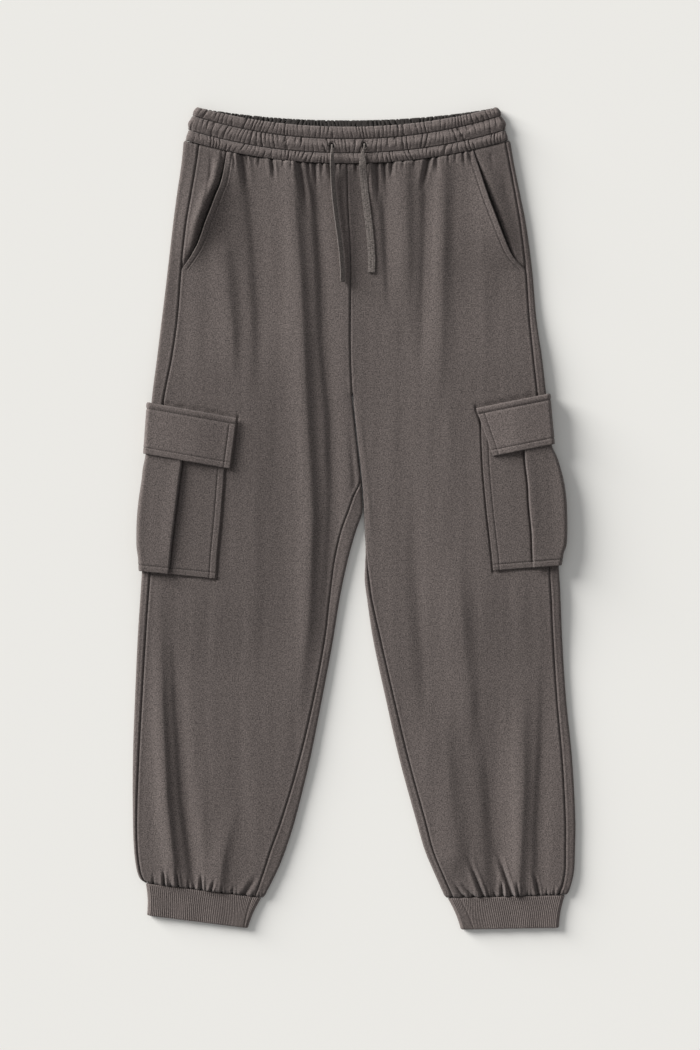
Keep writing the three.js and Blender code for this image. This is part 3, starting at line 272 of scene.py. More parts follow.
# A buttonhole is an oval opening a little below its cord's exit, ringed with stitches at that many times its size
HOLE_HALF_WIDTH = 3.2
HOLE_HALF_HEIGHT = 4
HOLE_DROP = 1
HOLE_DEPTH = 3.1
RING_SIZE = 1.4
CORDS = {
    "right": SimpleNamespace(
        lean=-0.95, hole=(-27, 465),
        points=[(-26.7, 452), (-26.4, 440), (-25.8, 424), (-24.2, 400), (-21.2, 375), (-17.8, 350), (-15, 325),
                (-13.8, 306), (-13.6, 294)]),
    "left": SimpleNamespace(
        lean=0, hole=(13.4, 466),
        points=[(11.4, 453), (11.4, 441), (12.6, 424), (15, 400), (18.2, 375), (21, 350), (22.6, 328),
                (22.7, 316), (22.3, 306)]),
}


def mix(a, b, share):
    """The value between a and b at a share of the way."""
    return a + (b - a) * share


def smoothstep(value, low, high):
    """Rises smoothly from 0 at low to 1 at high."""
    share = np.clip((value - low) / (high - low), 0, 1)
    return share * share * (3 - 2 * share)


def plateau(value, low, high, fade):
    """Full between low and high, and fading to nothing over fade on either side."""
    return smoothstep(value, low - fade, low) * (1 - smoothstep(value, high, high + fade))


def bell(distance, width):
    """A soft bump of height 1 with that half width."""
    return np.exp(-((distance / width) ** 2))


def chance(number, salt=0.0):
    """A value from 0 to 1 that looks random and is the same in each run."""
    return np.modf(np.abs(np.sin(number * 12.9898 + salt * 78.233) * 43758.5453))[0]


def read(rows, column, y):
    """A column's value at y, on a smooth curve through a table whose rows run downwards."""
    ys = rows["y"]
    values = rows[column]
    y = np.clip(y, ys[-1], ys[0])
    i = np.clip(np.searchsorted(-ys, -y, side="right") - 1, 0, len(ys) - 2)
    above = np.maximum(np.arange(len(ys)) - 1, 0)
    below = np.minimum(np.arange(len(ys)) + 1, len(ys) - 1)
    slopes = (values[below] - values[above]) / (ys[below] - ys[above])
    span = ys[i + 1] - ys[i]
    s = (y - ys[i]) / span
    start = (2 * s**3 - 3 * s**2 + 1) * values[i] + (s**3 - 2 * s**2 + s) * span * slopes[i]
    return start + (3 * s**2 - 2 * s**3) * values[i + 1] + (s**3 - s**2) * span * slopes[i + 1]


def fold_height(folds, x, y):
    """Height of a list of folds at points in the plan."""
    height = np.zeros(np.broadcast(x, y).shape)
    for width, line in folds:
        nearest = np.full(height.shape, np.inf)
        there = np.zeros(height.shape)
        to_right = np.zeros(height.shape)
        for (ax, ay, ah), (bx, by, bh) in zip(line[:-1], line[1:]):
            along = ((x - ax) * (bx - ax) + (y - ay) * (by - ay)) / ((bx - ax) ** 2 + (by - ay) ** 2)
            share = np.clip(along, 0, 1)
            distance = np.hypot(x - mix(ax, bx, share), y - mix(ay, by, share))
            closer = distance < nearest
            nearest = np.where(closer, distance, nearest)
            there = np.where(closer, mix(ah, bh, share), there)
            to_right = np.where(closer, x - mix(ax, bx, share), to_right)
        downhill = np.where(there < 0, 1, -1) * to_right / np.maximum(nearest, 1e-6)
        height += there * bell(nearest, width * mix(STEEP, GENTLE, 0.5 + 0.5 * downhill))
    return height


# A gather's slit, its trough and the ridges beside it: each shifted and as wide as so many half widths
GATHER_PARTS = ((0, 0.55, 0.7, -1.8), (0, 1.2, 1, -1.3), (2, 1.2, 0.9, 1), (-2, 1.2, 0.9, 1))


def gather_folds(gathers):
    """The folds of a table of gathers: a narrow slit in a longer trough, with a lower ridge on either side."""
    folds = []
    for x, y, end_x, end_y, depth, width in zip(*gathers.values()):
        length = math.hypot(end_x - x, end_y - y)
        across = ((end_y - y) / length, -(end_x - x) / length)
        for shift, wide, reach, high in GATHER_PARTS:
            dx = across[0] * shift * width
            dy = across[1] * shift * width
            points = [(mix(x, end_x, t * reach) + dx, mix(y, end_y, t * reach) + dy, depth * high * f)
                      for t, f in ((-0.3, 1), (0, 1), (0.45, 0.66), (1, 0))]
            folds.append((width * wide, points))
    return folds


def undulation(x, y, seed):
    """Low, long, uneven waves of cloth that lies by itself, in millimetres."""
    waves = ((61, 310, 0.30), (38, 190, 0.22), (23, 120, 0.12), (13.7, 66, 0.05))
    height = 0
    for k, (across, along, size) in enumerate(waves):
        bend = 0.9 * np.sin(y / (along * 0.53) + 2.1 * k + seed)
        height = height + size * np.sin(x / across * math.tau + bend + 1.7 * k + seed) * (
            0.6 + 0.4 * np.sin(y / along * math.tau + 3.3 * k + 1.9 * seed))
    return height


def waist_dip(x, depth):
    """How far the waist seam lies below its sides at x."""
    u = np.minimum(1, np.abs(x - WAIST_CENTRE_X) / WAIST_HALF)
    return depth * (1 - u**DIP_POWER)


def waist_share(row_y):
    return smoothstep(row_y, WAIST_Y - DIP_FADE, WAIST_Y)


def cuff_share(leg, row_y):
    return 1 - smoothstep(row_y, leg.cuff_y, leg.cuff_y + CUFF_FADE)


def roll_share(row_y):
    """1 below the crotch, where a leg has a rolled inner edge, and 0 above it."""
    return 1 - smoothstep(row_y, CROTCH_Y, CROTCH_Y + CROTCH_FADE)


def edge_height(row_y):
    rise = np.exp(-(((WAIST_Y - row_y) / WAIST_RISE_REACH) ** 2))
    return mix(EDGE_HEIGHT, WAIST_HEIGHT, rise)


def inner_line(leg, row_y, column):
    """The inner edge or inseam of a leg, in the row that meets its outer edge at row_y."""
    return read(leg.inner, column, row_y + cuff_share(leg, row_y) * leg.cuff_drop)


def centre_x(row_y):
    return read(CENTRE_LINE, "x", row_y - waist_share(row_y) * FRONT_DIP)


def inner_x(leg, row_y):
    """Where a row of a leg ends inboard: at the centre line, or below the crotch at the inner edge."""
    return np.where(row_y > CROTCH_Y, centre_x(row_y), inner_line(leg, row_y, "edge"))


def plan_y(leg, row_y, x, under):
    """Height in the plan of the point of a row at x. under is 0 on the upper side and 1 on the underside."""
    outer = read(leg.outer, "edge", row_y)
    share = np.clip((x - outer) / (inner_x(leg, row_y) - outer), 0, 1)
    dip = waist_dip(x, mix(FRONT_DIP, BACK_DIP, under))
    return row_y - waist_share(row_y) * dip + cuff_share(leg, row_y) * leg.cuff_drop * share


def row_at(leg, x, y):
    """The row of a leg that passes through the upper side at x, y."""
    row_y = np.array(y, float)
    for _ in range(12):
        row_y = row_y + y - plan_y(leg, row_y, x, 0)
    return row_y


def lift(leg, x, row_y):
    """How high a leg's underside is held above the surface."""
    inboard = np.abs(x - read(leg.outer, "edge", row_y))
    along = plateau(row_y, leg.pocket.bottom - LIFT_MARGIN, leg.pocket.flap_top + LIFT_MARGIN, LIFT_FADE)
    return POCKET_LIFT * along * (1 - smoothstep(inboard, LIFT_REACH, LIFT_REACH + LIFT_FADE))


def top_skin(leg, x, row_y):
    """Height of the upper skin away from the rolled edges, with its main folds."""
    outer = np.abs(x - read(leg.outer, "edge", row_y))
    inner = np.abs(x - inner_line(leg, row_y, "edge")) / np.maximum(roll_share(row_y), 0.001)
    height = edge_height(row_y)
    inside = np.maximum(np.minimum(outer, inner) - height / 2, 0)
    body = mix(height, np.maximum(BODY_HEIGHT, height), 1 - np.exp(-inside / EDGE_SOFTNESS))
    soft = smoothstep(inside, 0, height)
    folds = fold_height(leg.folds, x, plan_y(leg, row_y, x, 0))
    return lift(leg, x, row_y) + body + soft * folds * np.where(folds > 0, RIDGE, VALLEY)


def edge_point(leg, edge, direction, row_y, run):
    """Points of the skin near an edge, as x, z, the two parts of the normal, and under.

    run is measured round the roll: 0 where it leaves the upper side, radius times pi where it meets the underside.
    """
    radius = edge_height(row_y) / 2
    angle = np.clip(run / radius, 0, math.pi)
    nx = -direction * np.sin(angle)
    nz = np.cos(angle)
    beyond = np.maximum(-run, 0) + np.maximum(run - math.pi * radius, 0)
    x = edge + direction * (radius + beyond) + radius * nx
    rolled = lift(leg, x, row_y) + radius + radius * nz
    return x, np.where(run <= 0, top_skin(leg, x, row_y), rolled), nx, nz, angle / math.pi


def seam_run(edge, seam, row_y):
    """Where a seam line lies in the measure round the roll."""
    radius = edge_height(row_y) / 2
    inset = np.abs(seam - edge)
    return np.where(inset >= radius, radius - inset, radius * np.arcsin(np.clip((radius - inset) / radius, -1, 1)))


def spread(length, near_start, near_end, count):
    """Distances along sections of that length: the steps given near both ends, and count even steps between."""
    share = np.linspace(0, 1, count + 2)[1:-1]
    start = np.broadcast_to(np.array(near_start, float), (len(length), len(near_start)))
    middle = near_start[-1] + share * (length - near_start[-1] - near_end[-1])
    return np.hstack([start, middle, length - np.array(near_end, float)[::-1]])


def leg_rows(leg, step):
    """Rows of a leg's panels from the waist seam down to the cuff, as a column."""
    length = np.array([[WAIST_Y - leg.cuff_y]])
    count = int(length[0, 0] / step)
    return (WAIST_Y - spread(length, END_STEPS, END_STEPS, count)).reshape(-1, 1)


def grid_normals(points, closed=False):
    """Unit normals of a grid of points, by its rows and columns."""
    if closed:
        across = np.roll(points, -1, 1) - np.roll(points, 1, 1)
    else:
        across = np.gradient(points, axis=1)
    down = np.gradient(points, axis=0)
    normal = np.cross(across, down)
    return normal / np.maximum(np.linalg.norm(normal, axis=2, keepdims=True), 1e-9)


def length_along(points, axis):
    """Distance travelled along a grid's rows or columns, from its first line."""
    steps = np.linalg.norm(np.diff(points, axis=axis), axis=2)
    first = np.zeros_like(np.take(steps, [0], axis=axis))
    return np.cumsum(np.concatenate([first, steps], axis=axis), axis=axis)


def thinned(count, step):
    """Every step-th index of count, the last one included."""
    picked = list(range(0, count - 1, step))
    return picked + [count - 1]


def wall(name, outer, inner, step=1, closed=False):
    """A closed wall of cloth between two grids of points in millimetres, as a new object.

    The inner skin has only every step-th row and column. A closed wall joins its last column to its first.
    """
    rows, cols = outer.shape[:2]
    row_ties = thinned(rows, step)
    col_ties = thinned(cols, step)[:-1] if closed else thinned(cols, step)
    back = inner[np.ix_(row_ties, col_ties)]
    outer_ids = np.arange(rows * cols).reshape(rows, cols)
    inner_ids = rows * cols + np.arange(back.shape[0] * back.shape[1]).reshape(back.shape[:2])
    if closed:
        outer_ids = np.hstack([outer_ids, outer_ids[:, :1]])
        inner_ids = np.hstack([inner_ids, inner_ids[:, :1]])
        col_ties = col_ties + [cols]
    quads = np.vstack([quads_of(outer_ids), quads_of(inner_ids)[:, ::-1]])
    rims = rim(outer_ids[0], inner_ids[0], col_ties, True) + rim(outer_ids[-1], inner_ids[-1], col_ties, False)
    if not closed:
        rims += rim(outer_ids[:, 0], inner_ids[:, 0], row_ties, False)
        rims += rim(outer_ids[:, -1], inner_ids[:, -1], row_ties, True)
    points = np.vstack([outer.reshape(-1, 3), back.reshape(-1, 3)])
    across = length_along(outer, 1)
    down = length_along(outer, 0)
    flat = np.dstack([across, -np.broadcast_to(down[:, cols // 2 : cols // 2 + 1], across.shape)])
    uv = np.vstack([flat.reshape(-1, 2), flat[np.ix_(row_ties, col_ties if not closed else col_ties[:-1])].reshape(-1, 2)])
    return new_object(name, points, quads.tolist() + rims, uv)


def quads_of(ids):
    return np.stack([ids[:-1, :-1], ids[:-1, 1:], ids[1:, 1:], ids[1:, :-1]], axis=2).reshape(-1, 4)


def rim(outer, inner, ties, flip):
    """Triangles that join a fine edge to the coarser edge behind it."""
    faces = []
    for k, (start, end) in enumerate(zip(ties[:-1], ties[1:])):
        middle = (start + end) // 2
        for i in range(start, end):
            faces.append([outer[i + 1], outer[i], inner[k] if i < middle else inner[k + 1]])
        faces.append([outer[middle], inner[k], inner[k + 1]])
    faces = [[int(v) for v in face] for face in faces]
    return [face[::-1] for face in faces] if flip else faces


def volume_of(points, faces):
    """Six times the volume inside faces that share one winding."""
    triangles = [(f[0], f[i], f[i + 1]) for f in faces for i in range(1, len(f) - 1)]
    a, b, c = (points[np.array(triangles)[:, k]] for k in range(3))
    return float(np.einsum("ij,ij->i", a, np.cross(b, c)).sum())


def new_object(name, points, faces, uv):
    """A smooth mesh object at the origin from points in millimetres, with its faces turned outwards."""
    points[:, 2] = np.maximum(points[:, 2], 0)
    if volume_of(points - points.mean(axis=0), faces) < 0:
        faces = [face[::-1] for face in faces]
    mesh = bpy.data.meshes.new(name)
    mesh.from_pydata((points * MM).tolist(), [], faces)
    layer = mesh.uv_layers.new(name="UVMap")
    corners = np.zeros(len(mesh.loops), dtype=np.int32)
    mesh.loops.foreach_get("vertex_index", corners)
    layer.data.foreach_set("uv", (uv[corners] * MM).astype(np.float32).ravel())
    mesh.polygons.foreach_set("use_smooth", [True] * len(mesh.polygons))
    mesh.validate()
    piece = bpy.data.objects.new(name, mesh)
    bpy.context.scene.collection.objects.link(piece)
    return piece


def rounded(distance, radius):
    """How far a rounded edge falls away at a distance from it."""
    short = np.clip(radius - distance, 0, radius)
    return radius - np.sqrt(radius**2 - short**2)


def seam_dip(distance):
    """The groove of a seam pressed open."""
    return 1.45 * bell(distance, 0.7) + 0.3 * bell(distance, 2) - 0.4 * bell(distance - 2.6, 1)


def stitch_dip(distance, along, depth):
    """The furrow of a row of topstitching, drawn in a little more at each stitch."""
    pull = 0.82 + 0.18 * np.sin(along / 3.1 * math.tau)
    return depth * pull * bell(distance, 0.6) - 0.25 * depth * bell(np.abs(distance) - 2, 1.2)


def seam_puckers(along, distance, reach, size, seed):
    """Small uneven puckers that fade away from a gathered seam."""
    phase = along / 5.2 + 0.5 * np.sin(along / 17 + seed) + 0.3 * np.sin(along / 7.3 + 2 * seed)
    share = np.modf(np.abs(phase) + 100)[0]
    valley = bell(np.minimum(share, 1 - share), 0.17)
    return -size * valley * (0.35 + 0.65 * chance(np.round(phase), seed)) * np.exp(-distance / reach)


def pressed_lines(leg):
    """Narrow dips in the front panel just outside the edges of the cargo pocket and its flap."""
    pocket = leg.pocket
    folds = []

    def line(rows, column, top, bottom, slopes, away=1.0):
        points = []
        for y in np.linspace(top, bottom, 7):
            x = float(read(rows, column, y))
            tilt = mix(*slopes, (top - y) / (top - bottom))
            drop = tilt * abs(x - float(read(rows, "edge", y)))
            points.append((x + leg.inboard * away, y - drop, -PRESSED))
        folds.append((1.5, points))
        return points

    slopes = (pocket.slope, pocket.bottom_slope)
    side = line(leg.pocket_lines, "inner", pocket.flap_top - 12, pocket.bottom, slopes)
    line(leg.pocket_lines, "pleat", pocket.flap_top - 12, pocket.bottom, slopes, PLEAT_GROOVE)
    flap = line(leg.flap_lines, "inner", pocket.flap_top, pocket.flap_bottom, (pocket.slope, pocket.slope))
    for (x, y, _), start, slope in ((side[-1], -1.2, pocket.bottom_slope), (flap[0], 1.2, pocket.slope)):
        outer = float(read(leg.outer, "seam", y))
        end = (outer, y + start + slope * abs(outer - x), -PRESSED)
        folds.append((1.5, [(x, y + start, -PRESSED), end]))
    return folds


def panel_points(leg, row_y, x, z, nx, nz, under, edges):
    """The outer and inner skins of a leg's panel from its sections.

    edges is how far the cloth falls away at its seams and hems.
    """
    y = plan_y(leg, row_y, x, under)
    from_waist = WAIST_Y - row_y
    from_cuff = row_y - leg.cuff_y
    rel = edges - 1.6 * bell(from_waist, 1.5) - 1.7 * rounded(from_cuff, 5) / 5 - 0.5 * bell(from_cuff, 1.4)
    gathered = fold_height(gather_folds(leg.gathers), x, y)
    gathered += seam_puckers(x, from_waist, 9, 0.9, 1.0) + seam_puckers(x, from_cuff, 8, 1.2, 2.0)
    gathered = np.maximum(gathered, -GATHER_DEPTH)
    top = gathered + fold_height(pressed_lines(leg), x, y) + undulation(x, y, 1.3 if leg is RIGHT else 4.1)
    below = fold_height(UNDER_FOLDS, x, y) + np.minimum(0, undulation(x, y, 2.2)) * 0.5
    below = below + seam_puckers(x, from_waist, 9, 0.6, 3.0) + seam_puckers(x, from_cuff, 8, 0.6, 4.0)
    out = rel + top * smoothstep(nz, 0.1, 0.95) + np.minimum(below, 0) * smoothstep(-nz, 0.1, 0.95)
    out = np.where(nz < 0, np.minimum(out, 0), out)
    drawn_in = np.clip(-gathered, 0, 1.3) * (nz > 0.5)
    y_seam = np.where(from_waist < 0.01, y - CROSS_SEAM_GAP / 2, y)
    y_seam = y_seam + drawn_in * (0.9 * bell(from_cuff, 2.5) - 0.6 * bell(from_waist, 2.5))
    outer = np.dstack([x + nx * out, y_seam, z + nz * out])
    seamward = np.exp(-from_waist / 40) + np.exp(-from_cuff / 40)
    thick = CLOTH + 1.9 * seamward * smoothstep(nz, 0.5, 0.95)
    inner = np.dstack([x - nx * thick, y_seam, z - nz * thick])
    return outer, inner


def blend_sections(share, flat, rolled):
    """Sections between a flat one and a rolled one, with unit normals."""
    x, z, nx, nz, under = (mix(a, b, share) for a, b in zip(flat, rolled))
    size = np.hypot(nx, nz)
    return x, z, nx / size, nz / size, under


def front_panel(leg):
    """Front panel: from the side seam, or the slant pocket's edge, to the centre front seam or the inseam."""
    row_y = leg_rows(leg, 3.3)
    inboard = leg.inboard
    on_slant = row_y > SLANT_END_Y
    seam = read(leg.outer, "seam", row_y)
    start = np.where(on_slant, read(leg.slant, "x", row_y), seam) + inboard * SEAM_GAP / 2
    end = inner_x(leg, row_y) - inboard * SEAM_GAP / 2
    flat_length = np.abs(end - start)
    along = spread(flat_length, SEAM_STEPS, SEAM_STEPS, 244)
    x = start + inboard * along
    flat = (x, top_skin(leg, x, row_y), 0 * x, 0 * x + 1, 0 * x)
    edge = inner_line(leg, row_y, "edge")
    radius = edge_height(row_y) / 2
    end_run = seam_run(edge, inner_line(leg, row_y, "seam"), row_y) - SEAM_GAP / 2
    bend_run = np.minimum(end_run, 0) - 2 * radius
    bend_x = edge - inboard * (radius - bend_run)
    straight = np.abs(bend_x - start)
    rolled_length = straight + end_run - bend_run
    run_along = spread(rolled_length, SEAM_STEPS, SEAM_STEPS, 244)
    before = start + inboard * run_along
    on_flat = run_along <= straight
    curved = edge_point(leg, edge, -inboard, row_y, bend_run + run_along - straight)
    level = (before, top_skin(leg, before, row_y), 0 * x, 0 * x + 1, 0 * x)
    rolled = tuple(np.where(on_flat, a, b) for a, b in zip(level, curved))
    share = roll_share(row_y)
    x, z, nx, nz, under = blend_sections(share, flat, rolled)
    to_start = mix(along, run_along, share)
    to_end = mix(flat_length, rolled_length, share) - to_start
    hem = smoothstep(row_y, SLANT_END_Y - 3, SLANT_END_Y + 3)
    stitched = stitch_dip(to_start - SLANT_STITCH, row_y, 0.9) * hem
    edges = -mix(seam_dip(to_start), rounded(to_start, 1.2), hem) - seam_dip(to_end) - stitched
    height = np.sin(math.pi * np.clip((WAIST_Y - row_y) / (WAIST_Y - SLANT_END_Y), 0, 1) ** 1.3)
    z = z + leg.mouth * height * np.exp(-np.abs(x - start) / 16)
    outer, inner = panel_points(leg, row_y, x, z, nx, nz, under, edges)
    return row_y, outer, inner


def back_panel(leg):
    """Back panel: from the side seam on the upper side, round the rolled edge and under, to the centre back or inseam."""
    row_y = leg_rows(leg, 3.6)
    inboard = leg.inboard
    edge = read(leg.outer, "edge", row_y)
    radius = edge_height(row_y) / 2
    turn = math.pi * radius
    start_run = seam_run(edge, read(leg.outer, "seam", row_y), row_y) + SEAM_GAP / 2
    near = SEAM_STEPS[:5]
    first = spread(turn - start_run, near, (0,), 20)
    one = edge_point(leg, edge, inboard, row_y, start_run + first)
    from_x = edge + inboard * radius
    flat_end = inner_x(leg, row_y) - inboard * SEAM_GAP / 2
    flat_to = mix(from_x, flat_end, 0.93)
    inner_edge = inner_line(leg, row_y, "edge")
    rolled_to = inner_edge - inboard * radius
    share = np.linspace(0, 1, 28)[1:]

    def underside(x):
        return x, lift(leg, x, row_y), 0 * x, 0 * x - 1, 0 * x + 1

    flat_two = underside(mix(from_x, flat_to, share))
    rolled_two = underside(mix(from_x, rolled_to, share))
    flat_last = spread(np.abs(flat_end - flat_to), (0,), near, 18)[:, 1:]
    flat_three = underside(flat_to + inboard * flat_last)
    end_run = seam_run(inner_edge, inner_line(leg, row_y, "seam"), row_y) + SEAM_GAP / 2
    rolled_last = spread(turn - end_run, (0,), near, 18)[:, 1:]
    rolled_three = edge_point(leg, inner_edge, -inboard, row_y, turn - rolled_last)
    flat = tuple(np.hstack(parts) for parts in zip(one, flat_two, flat_three))
    rolled = tuple(np.hstack(parts) for parts in zip(one, rolled_two, rolled_three))
    x, z, nx, nz, under = blend_sections(roll_share(row_y), flat, rolled)
    far = np.full(flat_two[0].shape, 50.0)
    flat_away = np.abs(flat_end - flat_to) - flat_last
    away = mix(flat_away, turn - end_run - rolled_last, roll_share(row_y))
    to_start = np.hstack([first, far, far[:, : away.shape[1]]])
    to_end = np.hstack([np.full(first.shape, 50.0), far, away])
    edges = -seam_dip(to_start) - seam_dip(to_end)
    outer, inner = panel_points(leg, row_y, x, z, nx, nz, under, edges)
    return row_y, outer, inner


def pocket_facing(leg):
    """The facing inside a slant pocket: sewn to the side seam, and lying under the front panel's slanted edge."""
    row_y = leg_rows(leg, 2.6)
    row_y = row_y[row_y[:, 0] > SLANT_END_Y - 1]
    seam = read(leg.outer, "seam", row_y) + leg.inboard * SEAM_GAP / 2
    slant = read(leg.slant, "x", row_y)
    visible = np.abs(slant - seam)
    length = visible + 15
    along = spread(length, (0, 0.4, 0.9, 1.6, 2.6), (0,), 44)
    x = seam + leg.inboard * along
    height = np.clip((WAIST_Y - row_y) / (WAIST_Y - SLANT_END_Y), 0, 1)
    belly = np.sin(math.pi * height)
    to_edge = visible - along
    hollow = np.minimum(mix(3, 10.5, belly), 0.85 * visible)
    level = smoothstep(visible, 2, 9)
    sunk = 1 - level * smoothstep(to_edge, -1.5, hollow)
    deep = leg.sag * belly**2 * level * (1 - smoothstep(to_edge, -1, 0.9 * hollow))
    crest = leg.crest * level * belly * bell(to_edge - hollow - 2, 5)
    z = top_skin(leg, x, row_y) - (CLOTH + LAYER_GAP) * sunk - deep + crest * (to_edge > 0)
    y = plan_y(leg, row_y, x, 0)
    shape = 0.4 * undulation(x, y, 5.0) - seam_dip(along) - 1.4 * bell(WAIST_Y - row_y, 2.2)
    shape += seam_puckers(x, WAIST_Y - row_y, 8, 0.5, 6.0) + fold_height(leg.facing_folds, x, y)
    above_back = CLOTH + POCKET_CLOTH + SEAM_GAP
    z = np.maximum(z + np.where(to_edge < 1, np.minimum(shape, 0.35), shape), above_back)
    outer = np.dstack([x, y, z])
    inner = np.dstack([x, y, z - POCKET_CLOTH])
    # The strip of the hollow nearest the slanted edge is also returned, to get painted shade.
    return outer, inner, to_edge < 0.38 * hollow


def offset_path(path, distance):
    """A path of x, z points moved sideways: paths are rows x points x 2."""
    tangent = np.gradient(path, axis=1)
    tangent /= np.maximum(np.linalg.norm(tangent, axis=2, keepdims=True), 1e-9)
    side = np.stack([tangent[:, :, 1], -tangent[:, :, 0]], axis=2)
    return path + side * distance


def turn_under(x_from, z_from, direction, edge, under_z, end, count=16):
    """Carries a section round the leg's edge, as half an ellipse, and on underneath to its end."""
    half_height = (z_from - under_z) / 2
    angle = np.linspace(0, math.pi, count + 1)[1:]
    x = edge + direction * EDGE_TURN * (1 - np.sin(angle))
    z = under_z + half_height + half_height * np.cos(angle)
    x_end = mix(edge + direction * EDGE_TURN, end, np.linspace(0, 1, 19)[1:])
    return np.hstack([x, x_end]), np.hstack([z, 0 * x_end + under_z])


def bend(x, z, radius, way, count=7):
    """A half turn of a folded layer, from x, z upwards to the layer above."""
    angle = np.linspace(0, math.pi, count + 2)[1:-1]
    return x + way * radius * np.sin(angle), z + radius * (1 - np.cos(angle))


def cargo_pocket(leg):
    """Cargo pocket: one piece of cloth with a box pleat, from its inner edge on the front, round to underneath."""
    pocket = leg.pocket
    inboard = leg.inboard
    half = POCKET_CLOTH / 2
    layer = POCKET_CLOTH + 0.4
    mouth_y = pocket.flap_top - 12
    height = np.array([[mouth_y - pocket.bottom]])
    drop = spread(height, (0, 0.5, 1.2, 2.4), HEM_STEPS, 72).reshape(-1, 1)
    row_y = mouth_y - drop
    edge_x, pleat, inner_edge = (read(leg.pocket_lines, k, row_y) for k in ("edge", "pleat", "inner"))
    share = drop / height
    hidden = pleat - inboard * PLEAT_DEPTH
    first = spread(np.abs(inner_edge - hidden), HEM_STEPS, PLEAT_STEPS, 40)
    x1 = inner_edge - inboard * first
    groove = bell(inboard * (x1 - pleat) - PLEAT_GROOVE, 1.1) * smoothstep(row_y - pocket.bottom, 2, 12)

    def base(x):
        return top_skin(leg, x, row_y) + LAYER_GAP + half

    close = smoothstep(pocket.bottom + 14 - row_y, -14, 6)
    gape = 1.5 * (1 - close) * np.sin(math.pi * np.clip(share * 1.05, 0, 1)) ** 0.5
    x_hidden, z_hidden = bend(hidden, base(hidden), layer / 2, -inboard)
    x2 = mix(hidden, pleat, np.linspace(0, 1, 6)[1:-1])
    x_pleat, z_pleat = bend(pleat, base(pleat) + layer, layer / 2, inboard)
    edge = edge_x + inboard * half
    last_x = edge + inboard * EDGE_TURN
    third = spread(np.abs(last_x - pleat), (0, 0.5, 1.2, 2.4, 4), (0,), 16)
    x3 = pleat - inboard * third
    z3 = base(x3) + 2 * layer + gape * bell(third, 9)
    z3[:, -1:] = base(last_x) + 2 * layer
    x4, z4 = turn_under(last_x, z3[:, -1:], inboard, edge, FLAP_CLOTH + SEAM_GAP + half, inner_edge)
    x = np.hstack([x1, x_hidden, x2, x_pleat, x3, x4])
    z_pleat = z_pleat + gape * np.linspace(0.3, 1, z_pleat.shape[1])
    z = np.hstack([base(x1) - (PRESSED - 0.3) * groove, z_hidden, base(x2) + layer, z_pleat, z3, z4])
    path = np.dstack([x, z])
    tilt = mix(pocket.slope, pocket.bottom_slope, share)
    y = row_y - tilt * np.abs(x - edge_x)
    n_flat = first.shape[1]
    on_top = np.zeros(x.shape)
    on_top[:, :n_flat] = 1
    on_top[:, n_flat + 16 : n_flat + 18 + third.shape[1]] = 1
    to_inner = np.full(x.shape, 60.0)
    to_inner[:, :n_flat] = first
    to_inner[:, -18:] = np.abs(x[:, -18:] - inner_edge)
    to_bottom = row_y - pocket.bottom + 0 * x
    fall = rounded(to_inner, 0.9) + rounded(to_bottom, 0.9)
    fall += stitch_dip(to_inner - HEM_STITCH, row_y, 0.85) + stitch_dip(to_bottom - HEM_STITCH, x, 0.85)
    fall[:, :n_flat] += groove
    relief = 0.35 * on_top * undulation(1.6 * x, y, 7.0) * smoothstep(to_inner, 6, 20)
    outer = offset_path(path, inboard * half)
    normal = outer - path
    normal /= np.maximum(np.linalg.norm(normal, axis=2, keepdims=True), 1e-9)
    outer = outer + normal * (relief - np.minimum(fall, 1.1))[:, :, None]
    inner = offset_path(path, -inboard * half)
    grids = [np.dstack([skin[:, :, 0], y, skin[:, :, 1]]) for skin in (outer, inner)]
    return row_y, grids[0], grids[1], n_flat


